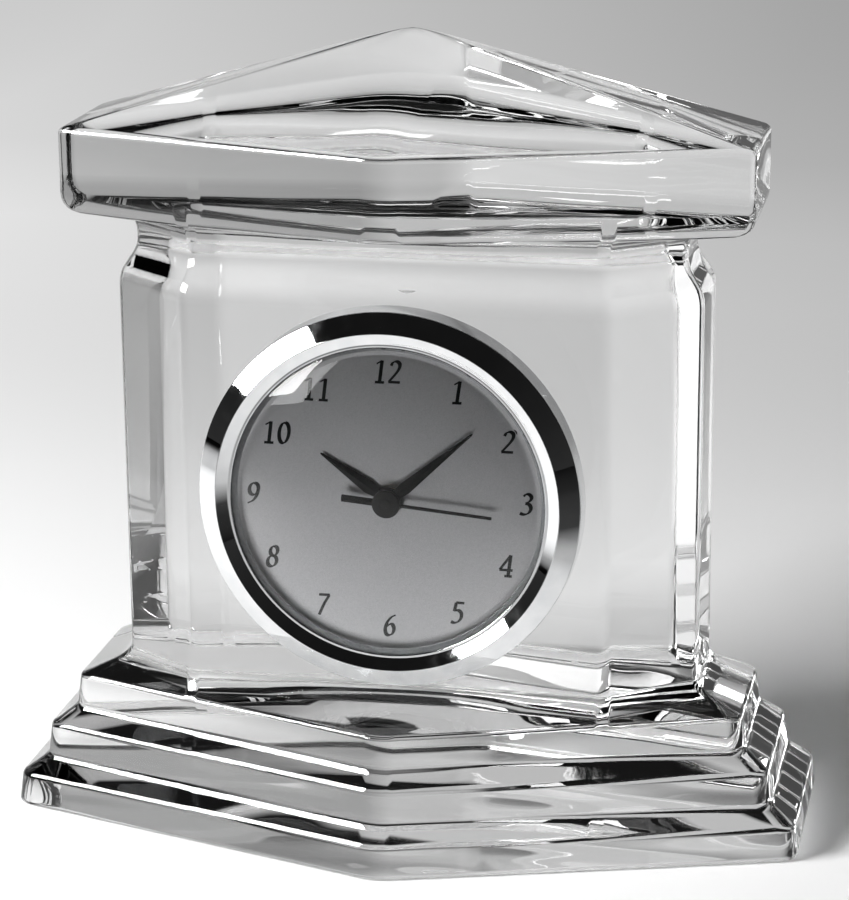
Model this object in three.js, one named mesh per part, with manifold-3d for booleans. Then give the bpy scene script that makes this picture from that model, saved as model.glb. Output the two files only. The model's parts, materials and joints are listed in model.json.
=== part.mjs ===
// Crystal table clock: a clear cast block with a round quartz insert held in a blind bore by a rubber ring.
// Millimetres, +Z up, dial facing -Y, origin under the middle of the base.
import * as THREE from 'three';
import { mergeVertices } from 'three/addons/utils/BufferGeometryUtils.js';
import Module from 'manifold-3d';

const wasm = await Module();
wasm.setup();

// Clearances
const SEAT_GAP = 0.3;
const RUN_GAP = 0.3;
const BOBBIN_GAP = 0.15;
const CUT_MARGIN = 1;

// Crystal block: three hexagonal steps, an octagonal body and a hexagonal roof
const STEP_COUNT = 3;
const BASE_HALF_WIDTH = 75;
const BASE_END_DEPTH = 20.2;
const BASE_V_DEPTH = 43.4;
const STEP_END_INSET = 5.4;
const STEP_DEPTH_INSET = 2.7;
const STEP_V_INSET = 3.35;
const STEP_RISER = 6.2;
const TREAD_RISE = 3.3;
const RISER_DRAFT = 0.7;
const STEP_EDGE_RADIUS = 1.2;
const BODY_HALF_WIDTH = 55.2;
const BODY_FRONT_HALF_WIDTH = 39.4;
const BODY_HALF_DEPTH = 21;
const BODY_END_DEPTH = 8.5;
const BODY_REAR_END_DEPTH = 11;
const BODY_HEIGHT = 75.4;
const BODY_FOOT_FILLET = 0.8;
const SHOULDER_HEIGHT = 5;
const SHOULDER_INSET = 3.3;
const NECK_HEIGHT = 6.6;
const NECK_COVE = 2.6;
const COVE_REACH = 0.25;
const COVE_STEPS = 3;
const ROOF_HALF_WIDTH = 64.6;
const ROOF_END_DEPTH = 13.3;
const ROOF_V_DEPTH = 31.6;
const ROOF_FASCIA = 16.3;
const ROOF_LOWER_RADIUS = 2;
const ROOF_UPPER_RADIUS = 1;
const ROOF_PEAK_RISE = 18.3;
const PEAK_FLAT = 0.04;

// Round insert
const CLOCK_RISE = 38.8;
const CAN_RADIUS = 30.2;
const CAN_WALL = 1.6;
const CAN_LEDGE = 1.2;
const CAN_REAR_ROOM = 2.3;
const CAN_FLOOR = 1.2;
const BORE_GAP = 1;
const BORE_FLOOR_GAP = 1.3;
const GRIP_WIDTH = 2.6;
const GRIP_SETBACK = 4.7;
const GRIP_GROOVE = 1;
const BEZEL_RADIUS = 35.8;
const BEZEL_SIDE = 5;
const BEZEL_CHAMFER = 0.3;
const BEZEL_HEIGHT = 7.2;
const BEZEL_TAPER = 0.2;
const BEZEL_OUTER_FACET = 3.8;
const BEZEL_INNER_FACET = 2.1;
const BEZEL_STEP = 1;
const BEZEL_LIP = 0.6;
const BEZEL_LIP_OVERLAP = 0.9;
const LENS_FLANGE = 1;
const LENS_THICKNESS = 1.6;
const LENS_DOME = 3.6;
const LENS_STEPS = 6;
const LENS_POWER = 4;
const GASKET_THICKNESS = 0.6;
const GASKET_WIDTH = 2.3;
const DIAL_THICKNESS = 0.8;

// Hands at eight past ten, angles clockwise from twelve
const HOUR_ANGLE = 304;
const MINUTE_ANGLE = 49;
const SECOND_ANGLE = 95;
const HOUR_LENGTH = 15.2;
const MINUTE_LENGTH = 20.9;
const SECOND_LENGTH = 19.5;
const SECOND_TAIL = 8.4;
const HOUR_HALF_WIDTH = 1.35;
const MINUTE_HALF_WIDTH = 1.2;
const SECOND_HALF_WIDTH = 0.34;
const TAIL_HALF_WIDTH = 0.68;
const HAND_TIP_SHARE = 0.3;
const HAND_THICKNESS = 0.35;
const HAND_GAP = 0.6;
const HUB_RADIUS = 2.6;
const HUB_HEIGHT = 1;

// Movement plates
const PLATE_THICKNESS = 1.2;
const REAR_PLATE_PLAY = 0.8;
const PILLAR_RADIUS = 1.8;
const PILLAR_INSET = 3;
const PILLAR_ANGLES = [-15, 85, 178];
const CASE_SCREW_CIRCLE = 20;
const CASE_SCREW_ANGLES = [35, 165, -60];
const SCREW_SHANK = 0.7;
const SCREW_HEAD = 1.6;
const SCREW_HEAD_HEIGHT = 1;
const SCREW_SLOT = 0.4;
const SCREW_GRIP = 3;
const SCREW_END_GAP = 1;

// Gear train: teeth and modules
const ROTOR_TEETH = 6;
const INTERMEDIATE_TEETH = 36;
const INTERMEDIATE_PINION_TEETH = 6;
const SECOND_TEETH = 30;
const SECOND_PINION_TEETH = 6;
const THIRD_TEETH = 45;
const THIRD_PINION_TEETH = 6;
const MINUTE_TEETH = 48;
const CANNON_TEETH = 10;
const MOTION_TEETH = 30;
const MOTION_PINION_TEETH = 8;
const HOUR_TEETH = 32;
const SET_TEETH = 15;
const ROTOR_MODULE = 0.45;
const SECOND_MODULE = 0.65;
const THIRD_MODULE = 0.46;
const MOTION_MODULE = 0.5;
const ADDENDUM = 0.8;
const DEDENDUM = 1.05;
const TOOTH_ROOT_SHARE = 0.22;
const TOOTH_TIP_SHARE = 0.11;
const WHEEL_THICKNESS = 0.6;
const PINION_LENGTH = 1.6;
const ROTOR_PINION_LENGTH = 1.2;
const THIRD_DIRECTION = 20;
const INTERMEDIATE_DIRECTION = 150;
const ROTOR_DIRECTION = 110;
const MOTION_DIRECTION = -90;
const HOUR_PLANE_DROP = 1.7;
const MOTION_PLANE_DROP = 2.1;
const MINUTE_PLANE_DROP = 2.4;
const THIRD_PLANE_DROP = 2.6;
const SECOND_PLANE_DROP = 1.4;
const INTERMEDIATE_PLANE_DROP = 1.2;
const REAR_PLATE_DROP = 0.8;
const ARBOR_RADIUS = 0.4;
const TUBE_WALL = 0.4;
const STUD_RADIUS = 0.8;
const SET_STEM_RADIUS = 1;
const KNOB_RADIUS = 4;
const KNOB_HEIGHT = 2.2;
const KNOB_RIBS = 14;
const KNOB_RIB_DEPTH = 0.3;

// Motor, circuit and cell
const MAGNET_RADIUS = 2.4;
const MAGNET_LENGTH = 3;
const STATOR_THICKNESS = 0.8;
const STATOR_POLE_RADIUS = 4.8;
const STATOR_DROP = 6.5;
const CORE_WIDTH = 2;
const CORE_THICKNESS = 1.6;
const COIL_LENGTH = 15;
const STATOR_REACH = 5.8;
const COIL_RISE = 2.8;
const COIL_RADIUS = 2.6;
const CORE_END = 3.6;
const BOBBIN_WALL = 0.3;
const BOBBIN_FLANGE = 0.6;
const BOARD_WIDTH = 15;
const BOARD_HEIGHT = 8;
const BOARD_THICKNESS = 0.8;
const BOARD_X = 13.5;
const BOARD_Y = -13.5;
const BOARD_SCREW_SPACING = 8.4;
const CHIP_RADIUS = 2;
const CHIP_HEIGHT = 1.2;
const CHIP_OFFSET = 1.2;
const CHIP_STEPS = 3;
const CHIP_POWER = 2;
const RESONATOR_RADIUS = 1;
const RESONATOR_LENGTH = 6;
const RESONATOR_OFFSET = -2.3;
const CELL_RADIUS = 5.8;
const CELL_HEIGHT = 5.4;
const CELL_X = -14.3;
const CELL_Y = -12.6;
const WELL_WALL = 0.8;
const WELL_DEPTH = 2.6;
const CONTACT_THICKNESS = 0.25;
const CONTACT_WIDTH = 3;
const CONTACT_OFFSET = 2.7;
const CONTACT_OVERLAP = 1;
const CAP_FLANGE = 1;
const CAP_LUG = 1;
const CAP_LUG_HEIGHT = 0.6;
const CAP_LUG_ANGLE = 40;
const CAP_LUG_STEPS = 4;
const CAP_NOTCH_PLAY = 6;
const CAP_TURN = 60;
const COIN_SLOT_WIDTH = 1.6;
const COIN_SLOT_DEPTH = 0.6;

// Round sections
const LARGE_SIDES = 48;
const MEDIUM_SIDES = 20;
const SMALL_SIDES = 10;

const radians = THREE.MathUtils.degToRad;
const clock = new THREE.Group();
const insert = new THREE.Group();

// Solids from closed meshes, for joins and cuts
function toSolid(geometry) {
  const bare = geometry.index ? geometry.toNonIndexed() : geometry.clone();
  bare.deleteAttribute('normal');
  bare.deleteAttribute('uv');
  const merged = mergeVertices(bare, 1e-4);
  const index = merged.index.array;
  const kept = [];
  for (let i = 0; i < index.length; i += 3) {
    const [a, b, c] = [index[i], index[i + 1], index[i + 2]];
    if (a !== b && b !== c && c !== a) kept.push(a, b, c);
  }
  const vertProperties = new Float32Array(merged.attributes.position.array);
  return new wasm.Manifold(new wasm.Mesh({ numProp: 3, vertProperties, triVerts: new Uint32Array(kept) }));
}

function toGeometry(solid) {
  const mesh = solid.getMesh();
  const geometry = new THREE.BufferGeometry();
  geometry.setAttribute('position', new THREE.BufferAttribute(new Float32Array(mesh.vertProperties), 3));
  geometry.setIndex(Array.from(mesh.triVerts));
  geometry.computeVertexNormals();
  return geometry;
}

function join(...geometries) {
  return toGeometry(geometries.map(toSolid).reduce((whole, next) => whole.add(next)));
}

function cut(geometry, ...tools) {
  return toGeometry(tools.map(toSolid).reduce((whole, tool) => whole.subtract(tool), toSolid(geometry)));
}

// Basic forms along the local Z axis
function rod(radius, from, to, x = 0, y = 0, sides = SMALL_SIDES) {
  const geometry = new THREE.CylinderGeometry(radius, radius, to - from, sides);
  geometry.rotateX(Math.PI / 2);
  return geometry.translate(x, y, (from + to) / 2);
}

function turned(profile, sides) {
  const points = profile.map(([r, z]) => new THREE.Vector2(r, z));
  return new THREE.LatheGeometry(points, sides).rotateX(Math.PI / 2);
}

function ring(inner, outer, from, to, sides) {
  return turned([[inner, from], [outer, from], [outer, to], [inner, to], [inner, from]], sides);
}

function block(x0, x1, y0, y1, z0, z1) {
  const geometry = new THREE.BoxGeometry(x1 - x0, y1 - y0, z1 - z0);
  return geometry.translate((x0 + x1) / 2, (y0 + y1) / 2, (z0 + z1) / 2);
}

function slab(points, from, to) {
  const shape = new THREE.Shape(points.map(([x, y]) => new THREE.Vector2(x, y)));
  const geometry = new THREE.ExtrudeGeometry(shape, { depth: to - from, bevelEnabled: false });
  return geometry.translate(0, 0, from);
}

function polar(radius, degrees) {
  return [radius * Math.cos(radians(degrees)), radius * Math.sin(radians(degrees))];
}

function add(parent, name, geometry, look, place = [0, 0], turn = 0) {
  const [color, roughness, metalness] = look;
  const mesh = new THREE.Mesh(geometry, new THREE.MeshStandardMaterial({ color, roughness, metalness }));
  mesh.name = name;
  mesh.position.set(place[0], place[1], 0);
  mesh.rotation.z = turn;
  parent.add(mesh);
  return mesh;
}

// Looks: colour, roughness, metalness
const CRYSTAL = ['#e9edee', 0.03, 0];
const CHROME = ['#d6d8da', 0.08, 1];
const GLASS = ['#f2f4f4', 0.05, 0];
const SILVER_PAINT = ['#b9babb', 0.45, 0.4];
const BLACK_PAINT = ['#101010', 0.4, 0];
const BLACK_PLASTIC = ['#1b1b1c', 0.55, 0];
const RUBBER = ['#161616', 0.85, 0];
const WHITE_PLASTIC = ['#e6e4dc', 0.5, 0];
const GREY_PLASTIC = ['#8c8e90', 0.5, 0];
const BRASS = ['#c8a552', 0.3, 1];
const STEEL = ['#b7b9bb', 0.3, 1];
const MAGNET = ['#3a3b3d', 0.4, 0.8];
const COPPER = ['#b4643a', 0.35, 0.9];
const BOARD_GREEN = ['#2f5a3c', 0.5, 0];

// Radii of the insert's shells
const boreRadius = CAN_RADIUS + BORE_GAP;
const bezelBore = CAN_RADIUS + SEAT_GAP;
const bezelOpening = CAN_RADIUS - BEZEL_LIP_OVERLAP;
const canInner = CAN_RADIUS - CAN_WALL;
const ledgeInner = canInner - CAN_LEDGE;
const plateRadius = canInner - SEAT_GAP;
const rearPlateRadius = ledgeInner - REAR_PLATE_PLAY;
const pillarCircle = rearPlateRadius - PILLAR_INSET;

// Levels along the insert's axis, from the bezel's lip back to the knob
const lipBack = BEZEL_HEIGHT - BEZEL_STEP - BEZEL_LIP;
const lensFront = lipBack - SEAT_GAP;
const lensBack = lensFront - LENS_FLANGE;
const gasketBack = lensBack - SEAT_GAP - GASKET_THICKNESS;
const dialFront = gasketBack - SEAT_GAP;
const dialBack = dialFront - DIAL_THICKNESS;
const plateFront = dialBack - SEAT_GAP;
const plateBack = plateFront - PLATE_THICKNESS;
const hourPlane = plateBack - HOUR_PLANE_DROP;
const motionPlane = hourPlane - MOTION_PLANE_DROP;
const minutePlane = motionPlane - MINUTE_PLANE_DROP;
const thirdPlane = minutePlane - THIRD_PLANE_DROP;
const secondPlane = thirdPlane - SECOND_PLANE_DROP;
const intermediatePlane = secondPlane - INTERMEDIATE_PLANE_DROP;
const rearPlateFront = intermediatePlane - REAR_PLATE_DROP;
const rearPlateBack = rearPlateFront - PLATE_THICKNESS;
const canInside = rearPlateBack - CAN_REAR_ROOM;
const canBack = canInside - CAN_FLOOR;
const knobFront = canBack - SEAT_GAP;
const knobBack = knobFront - KNOB_HEIGHT;
const stemBack = knobBack + KNOB_HEIGHT / 2;
const boreDepth = BORE_FLOOR_GAP - knobBack;

// Outlines of the block seen from above, front V first, anticlockwise
function hexagonPlan(halfWidth, endDepth, vDepth, inset = 0) {
  const slope = (vDepth - endDepth) / halfWidth;
  const width = halfWidth - inset;
  const depth = vDepth - inset * Math.hypot(1, slope);
  const crease = BODY_FRONT_HALF_WIDTH;
  return mirrored(depth, [[crease, depth - slope * crease], [width, depth - slope * width]]);
}

function octagonPlan(inset = 0) {
  const front = chamferEnds(BODY_END_DEPTH, inset);
  const rear = chamferEnds(BODY_REAR_END_DEPTH, inset);
  return mirrored(BODY_HALF_DEPTH - inset, front, rear);
}

// Both ends of a chamfer between a broad face and an end face
function chamferEnds(endDepth, inset) {
  const run = BODY_HALF_WIDTH - BODY_FRONT_HALF_WIDTH;
  const fall = BODY_HALF_DEPTH - endDepth;
  const face = Math.hypot(run, fall);
  const broad = [BODY_FRONT_HALF_WIDTH - inset * (face - run) / fall, BODY_HALF_DEPTH - inset];
  const end = [BODY_HALF_WIDTH - inset, endDepth - inset * (face - fall) / run];
  return [broad, end];
}

function mirrored(depth, [front, frontEnd], [rear, rearEnd] = [front, frontEnd]) {
  return [
    [0, -depth], [front[0], -front[1]], [frontEnd[0], -frontEnd[1]], rearEnd, rear,
    [0, depth], [-rear[0], rear[1]], [-rearEnd[0], rearEnd[1]],
    [-frontEnd[0], -frontEnd[1]], [-front[0], -front[1]],
  ];
}

// Closed skin through a stack of outlines
function loft(levels) {
  const count = levels[0].plan.length;
  const position = levels.flatMap(({ plan, z }) => plan.flatMap(([x, y]) => [x, y, z]));
  const index = [];
  for (let k = 0; k + 1 < levels.length; k += 1) {
    for (let i = 0; i < count; i += 1) {
      const next = (i + 1) % count;
      const [a, b] = [k * count + i, k * count + next];
      index.push(a, b, b + count, a, b + count, a + count);
    }
  }
  const top = (levels.length - 1) * count;
  for (let i = 1; i + 1 < count; i += 1) {
    index.push(0, i + 1, i);
    index.push(top, top + i, top + i + 1);
  }
  const geometry = new THREE.BufferGeometry();
  geometry.setAttribute('position', new THREE.Float32BufferAttribute(position, 3));
  geometry.setIndex(index);
  return geometry;
}

// A quarter round from a lower surface into a wall, as inset and height shares
const QUARTER = [0, 0.5, 1].map((t) => [1 - Math.sin(t * Math.PI / 2), 1 - Math.cos(t * Math.PI / 2)]);

const bodyFoot = STEP_COUNT * (STEP_RISER + TREAD_RISE);
const shoulderFoot = bodyFoot + BODY_HEIGHT;
const neckFoot = shoulderFoot + SHOULDER_HEIGHT;
const roofFoot = neckFoot + NECK_HEIGHT;
const fasciaTop = roofFoot + ROOF_FASCIA;

function stepLevels() {
  const levels = [];
  for (let step = 0; step < STEP_COUNT; step += 1) {
    const foot = step * (STEP_RISER + TREAD_RISE);
    const top = foot + STEP_RISER;
    const plan = (inset) => hexagonPlan(
      BASE_HALF_WIDTH - step * STEP_END_INSET,
      BASE_END_DEPTH - step * STEP_DEPTH_INSET,
      BASE_V_DEPTH - step * STEP_V_INSET,
      inset,
    );
    if (step === 0) {
      QUARTER.forEach(([inset, rise]) => levels.push({
        plan: plan(inset * STEP_EDGE_RADIUS - RISER_DRAFT), z: rise * STEP_EDGE_RADIUS,
      }));
    } else {
      levels.push({ plan: plan(-RISER_DRAFT), z: foot });
    }
    [...QUARTER].reverse().forEach(([inset, rise]) => levels.push({
      plan: plan(inset * STEP_EDGE_RADIUS), z: top - rise * STEP_EDGE_RADIUS,
    }));
  }
  return levels;
}

function roofPlan(inset) {
  return hexagonPlan(ROOF_HALF_WIDTH, ROOF_END_DEPTH, ROOF_V_DEPTH, inset);
}

// Neck: straight up from the shoulder, then a cove out towards the edge of the roof's underside
function neckLevels() {
  const shoulder = octagonPlan(SHOULDER_INSET);
  const underside = roofPlan(ROOF_LOWER_RADIUS);
  return Array.from({ length: COVE_STEPS + 1 }, (_, step) => {
    const angle = (step / COVE_STEPS) * Math.PI / 2;
    const share = COVE_REACH * (1 - Math.cos(angle));
    const plan = shoulder.map(([x, y], i) => [
      x + share * (underside[i][0] - x),
      y + share * (underside[i][1] - y),
    ]);
    return { plan, z: roofFoot - NECK_COVE * (1 - Math.sin(angle)) };
  });
}

function roofLevels() {
  const lower = QUARTER.map(([inset, rise]) => ({
    plan: roofPlan(inset * ROOF_LOWER_RADIUS), z: roofFoot + rise * ROOF_LOWER_RADIUS,
  }));
  const upper = [...QUARTER].reverse().map(([inset, rise]) => ({
    plan: roofPlan(inset * ROOF_UPPER_RADIUS), z: fasciaTop - rise * ROOF_UPPER_RADIUS,
  }));
  const tip = roofPlan(0).map(([x, y]) => [x * PEAK_FLAT, y * PEAK_FLAT]);
  const peak = { plan: tip, z: fasciaTop + ROOF_PEAK_RISE };
  return [...lower, ...upper, peak];
}

function crystalBody() {
  const block = loft([
    ...stepLevels(),
    { plan: octagonPlan(-BODY_FOOT_FILLET), z: bodyFoot },
    { plan: octagonPlan(), z: bodyFoot + BODY_FOOT_FILLET },
    { plan: octagonPlan(), z: shoulderFoot },
    { plan: octagonPlan(SHOULDER_INSET), z: neckFoot },
    ...neckLevels(),
    ...roofLevels(),
  ]);
  const bore = new THREE.CylinderGeometry(boreRadius, boreRadius, 2 * boreDepth, LARGE_SIDES);
  bore.translate(0, -BODY_HALF_DEPTH, bodyFoot + CLOCK_RISE);
  return cut(block, bore);
}

add(clock, 'crystal_body', crystalBody(), CRYSTAL);

// The insert's own frame: X right, Y up, Z out of the dial, Z = 0 on the block's front face
insert.position.set(0, -BODY_HALF_DEPTH, bodyFoot + CLOCK_RISE);
insert.rotation.x = Math.PI / 2;
clock.add(insert);

// Bezel: an upright side, an outer and an inner facet that meet in a crest, and a flat lip over the lens
function bezel() {
  const crest = BEZEL_RADIUS - BEZEL_OUTER_FACET;
  const lipFront = lipBack + BEZEL_LIP;
  return turned([
    [bezelBore, SEAT_GAP],
    [BEZEL_RADIUS - BEZEL_CHAMFER, SEAT_GAP],
    [BEZEL_RADIUS, SEAT_GAP + BEZEL_CHAMFER],
    [BEZEL_RADIUS - BEZEL_TAPER, BEZEL_SIDE],
    [crest, BEZEL_HEIGHT],
    [crest - BEZEL_INNER_FACET, lipFront],
    [bezelOpening, lipFront],
    [bezelOpening, lipBack],
    [bezelBore, lipBack],
    [bezelBore, SEAT_GAP],
  ], LARGE_SIDES);
}

// A dome from its edge to its middle: flat on top and steeper towards the edge as the power grows
function dome(radius, from, rise, steps, power) {
  return Array.from({ length: steps + 1 }, (_, i) => {
    const share = Math.cos(i / steps * Math.PI / 2);
    return [i === steps ? 0 : radius * share, from + rise * (1 - share ** power)];
  });
}

function lens() {
  const rim = bezelOpening - SEAT_GAP;
  const insideRise = LENS_DOME + BEZEL_LIP + LENS_FLANGE - LENS_THICKNESS;
  const outside = dome(rim, lensFront + BEZEL_LIP, LENS_DOME, LENS_STEPS, LENS_POWER);
  const inside = dome(rim - LENS_THICKNESS, lensBack, insideRise, LENS_STEPS, LENS_POWER);
  return turned([
    ...inside.reverse(),
    [CAN_RADIUS, lensBack],
    [CAN_RADIUS, lensFront],
    [rim, lensFront],
    ...outside,
  ], LARGE_SIDES);
}

const hourTubeInner = ARBOR_RADIUS + 2 * RUN_GAP + TUBE_WALL;
const minuteTubeOuter = ARBOR_RADIUS + RUN_GAP + TUBE_WALL;
const hourTubeOuter = hourTubeInner + TUBE_WALL;
const hourHandBack = dialFront + HAND_GAP;
const minuteHandBack = hourHandBack + HAND_THICKNESS + HAND_GAP;
const secondHandBack = minuteHandBack + HAND_THICKNESS + HAND_GAP;

function dial() {
  return ring(hourTubeOuter + 2 * RUN_GAP, CAN_RADIUS, dialBack, dialFront, LARGE_SIDES);
}

add(insert, 'bezel', bezel(), CHROME);
add(insert, 'lens', lens(), GLASS);
add(insert, 'lens_gasket', ring(
  CAN_RADIUS - GASKET_WIDTH, CAN_RADIUS, gasketBack, gasketBack + GASKET_THICKNESS, LARGE_SIDES,
), GREY_PLASTIC);
add(insert, 'dial', dial(), SILVER_PAINT);

// Hands point to twelve in their own frame and are turned clockwise
function pointer(halfWidth, tipHalfWidth, from, length, back) {
  const outline = [[-halfWidth, from], [halfWidth, from], [tipHalfWidth, length], [-tipHalfWidth, length]];
  return slab(outline, back, back + HAND_THICKNESS);
}

function flatHand(halfWidth, length, back, hole) {
  const blade = pointer(halfWidth, halfWidth * HAND_TIP_SHARE, 0, length, back);
  const boss = rod(HUB_RADIUS, back, back + HAND_THICKNESS, 0, 0, MEDIUM_SIDES);
  const eye = rod(hole, back - SEAT_GAP, back + HAND_THICKNESS + SEAT_GAP, 0, 0, MEDIUM_SIDES);
  return cut(join(blade, boss), eye);
}

function secondHand() {
  const needleTip = SECOND_HALF_WIDTH * HAND_TIP_SHARE;
  const needle = pointer(SECOND_HALF_WIDTH, needleTip, 0, SECOND_LENGTH, secondHandBack);
  const tail = pointer(TAIL_HALF_WIDTH, TAIL_HALF_WIDTH, 0, SECOND_TAIL, secondHandBack).rotateZ(Math.PI);
  const hub = rod(HUB_RADIUS, secondHandBack, secondHandBack + HUB_HEIGHT, 0, 0, MEDIUM_SIDES);
  const socketTop = secondHandBack + HUB_HEIGHT - HAND_THICKNESS;
  const socket = rod(ARBOR_RADIUS + RUN_GAP, secondHandBack - SEAT_GAP, socketTop);
  return cut(join(needle, tail, hub), socket);
}

const hourHand = flatHand(HOUR_HALF_WIDTH, HOUR_LENGTH, hourHandBack, hourTubeOuter + RUN_GAP);
const minuteHand = flatHand(MINUTE_HALF_WIDTH, MINUTE_LENGTH, minuteHandBack, minuteTubeOuter + RUN_GAP);
add(insert, 'hour_hand', hourHand, BLACK_PAINT, [0, 0], -radians(HOUR_ANGLE));
add(insert, 'minute_hand', minuteHand, BLACK_PAINT, [0, 0], -radians(MINUTE_ANGLE));
add(insert, 'second_hand', secondHand(), BLACK_PAINT, [0, 0], -radians(SECOND_ANGLE));

// Centres of the arbors
function pairDistance(first, second, modul) {
  return (first + second) * modul / 2;
}

function offset([x, y], distance, degrees) {
  const [dx, dy] = polar(distance, degrees);
  return [x + dx, y + dy];
}

const thirdDistance = pairDistance(SECOND_PINION_TEETH, THIRD_TEETH, THIRD_MODULE);
const minuteModule = 2 * thirdDistance / (THIRD_PINION_TEETH + MINUTE_TEETH);
const motionDistance = pairDistance(CANNON_TEETH, MOTION_TEETH, MOTION_MODULE);
const hourModule = 2 * motionDistance / (MOTION_PINION_TEETH + HOUR_TEETH);
const intermediateDistance = pairDistance(INTERMEDIATE_PINION_TEETH, SECOND_TEETH, SECOND_MODULE);
const rotorDistance = pairDistance(ROTOR_TEETH, INTERMEDIATE_TEETH, ROTOR_MODULE);
const setDistance = pairDistance(MOTION_TEETH, SET_TEETH, MOTION_MODULE);
const centre = [0, 0];
const thirdCentre = polar(thirdDistance, THIRD_DIRECTION);
const intermediateCentre = polar(intermediateDistance, INTERMEDIATE_DIRECTION);
const rotorCentre = offset(intermediateCentre, rotorDistance, ROTOR_DIRECTION);
const motionCentre = polar(motionDistance, MOTION_DIRECTION);
const setCentre = offset(motionCentre, setDistance, MOTION_DIRECTION);

// A gear with straight-flanked teeth; the first tooth points along the given turn
function gear(teeth, modul, plane, length, turn = 0) {
  const pitchRadius = teeth * modul / 2;
  const tip = pitchRadius + ADDENDUM * modul;
  const root = pitchRadius - DEDENDUM * modul;
  const pitch = 360 / teeth;
  const outline = [];
  for (let tooth = 0; tooth < teeth; tooth += 1) {
    const middle = tooth * pitch;
    outline.push(polar(root, middle - TOOTH_ROOT_SHARE * pitch));
    outline.push(polar(tip, middle - TOOTH_TIP_SHARE * pitch));
    outline.push(polar(tip, middle + TOOTH_TIP_SHARE * pitch));
    outline.push(polar(root, middle + TOOTH_ROOT_SHARE * pitch));
  }
  return slab(outline, plane - length / 2, plane + length / 2).rotateZ(turn);
}

// Turn that puts the driven gear's space on the driver's tooth
function meshTurn(driverTeeth, driverTurn, degrees, drivenTeeth) {
  const driverPitch = 2 * Math.PI / driverTeeth;
  const drivenPitch = 2 * Math.PI / drivenTeeth;
  const towards = radians(degrees);
  return towards + Math.PI + drivenPitch * (0.5 - (driverTurn - towards) / driverPitch);
}

const wheel = (teeth, modul, plane, turn) => gear(teeth, modul, plane, WHEEL_THICKNESS, turn);
const pinion = (teeth, modul, plane) => gear(teeth, modul, plane, PINION_LENGTH);
const pivotBack = rearPlateBack + SEAT_GAP;
const pivotFront = plateFront - SEAT_GAP;
const arbor = (radius = ARBOR_RADIUS) => rod(radius, pivotBack, pivotFront);
const pivotHole = ARBOR_RADIUS + RUN_GAP;

const intermediateTurn = 0;

function rotor() {
  const middle = plateBack - STATOR_DROP - STATOR_THICKNESS / 2;
  const half = MAGNET_LENGTH / 2;
  const magnet = rod(MAGNET_RADIUS, middle - half, middle + half, 0, 0, MEDIUM_SIDES);
  const turn = meshTurn(INTERMEDIATE_TEETH, intermediateTurn, ROTOR_DIRECTION, ROTOR_TEETH);
  const leaves = gear(ROTOR_TEETH, ROTOR_MODULE, intermediatePlane, ROTOR_PINION_LENGTH, turn);
  return join(arbor(), magnet, leaves);
}

const thirdTurn = meshTurn(SECOND_PINION_TEETH, 0, THIRD_DIRECTION, THIRD_TEETH);
const minuteTurn = meshTurn(THIRD_PINION_TEETH, 0, THIRD_DIRECTION + 180, MINUTE_TEETH);
const motionTurn = meshTurn(CANNON_TEETH, 0, MOTION_DIRECTION, MOTION_TEETH);
const hourTurn = meshTurn(MOTION_PINION_TEETH, 0, MOTION_DIRECTION + 180, HOUR_TEETH);
const secondTurn = meshTurn(INTERMEDIATE_PINION_TEETH, 0, INTERMEDIATE_DIRECTION + 180, SECOND_TEETH);
const setTurn = meshTurn(MOTION_TEETH, motionTurn, MOTION_DIRECTION, SET_TEETH);

function intermediateWheel() {
  return join(
    arbor(),
    wheel(INTERMEDIATE_TEETH, ROTOR_MODULE, intermediatePlane, intermediateTurn),
    pinion(INTERMEDIATE_PINION_TEETH, SECOND_MODULE, secondPlane),
  );
}

function secondWheel() {
  return join(
    rod(ARBOR_RADIUS, pivotBack, secondHandBack + SEAT_GAP),
    wheel(SECOND_TEETH, SECOND_MODULE, secondPlane, secondTurn),
    pinion(SECOND_PINION_TEETH, THIRD_MODULE, thirdPlane),
  );
}

function thirdWheel() {
  return join(
    arbor(),
    wheel(THIRD_TEETH, THIRD_MODULE, thirdPlane, thirdTurn),
    pinion(THIRD_PINION_TEETH, minuteModule, minutePlane),
  );
}

function minuteWheel() {
  const back = minutePlane - WHEEL_THICKNESS;
  const front = minuteHandBack + HAND_THICKNESS;
  const solid = join(
    rod(minuteTubeOuter, back, front),
    wheel(MINUTE_TEETH, minuteModule, minutePlane, minuteTurn),
    pinion(CANNON_TEETH, MOTION_MODULE, motionPlane),
  );
  return cut(solid, rod(ARBOR_RADIUS + RUN_GAP, back - SEAT_GAP, front + SEAT_GAP));
}

function motionWheel() {
  const back = motionPlane - WHEEL_THICKNESS / 2;
  const front = hourPlane + PINION_LENGTH / 2;
  const solid = join(
    wheel(MOTION_TEETH, MOTION_MODULE, motionPlane, motionTurn),
    rod(STUD_RADIUS + 2 * RUN_GAP, back, front),
    pinion(MOTION_PINION_TEETH, hourModule, hourPlane),
  );
  return cut(solid, rod(STUD_RADIUS + RUN_GAP, back - SEAT_GAP, front + SEAT_GAP));
}

function hourWheel() {
  const back = hourPlane - WHEEL_THICKNESS / 2;
  const front = hourHandBack + HAND_THICKNESS;
  const solid = join(
    wheel(HOUR_TEETH, hourModule, hourPlane, hourTurn),
    rod(hourTubeOuter, back, front),
  );
  return cut(solid, rod(hourTubeInner, back - SEAT_GAP, front + SEAT_GAP));
}

function setStem() {
  return join(
    rod(SET_STEM_RADIUS, stemBack, pivotFront),
    gear(SET_TEETH, MOTION_MODULE, motionPlane, PINION_LENGTH, setTurn),
  );
}

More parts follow.
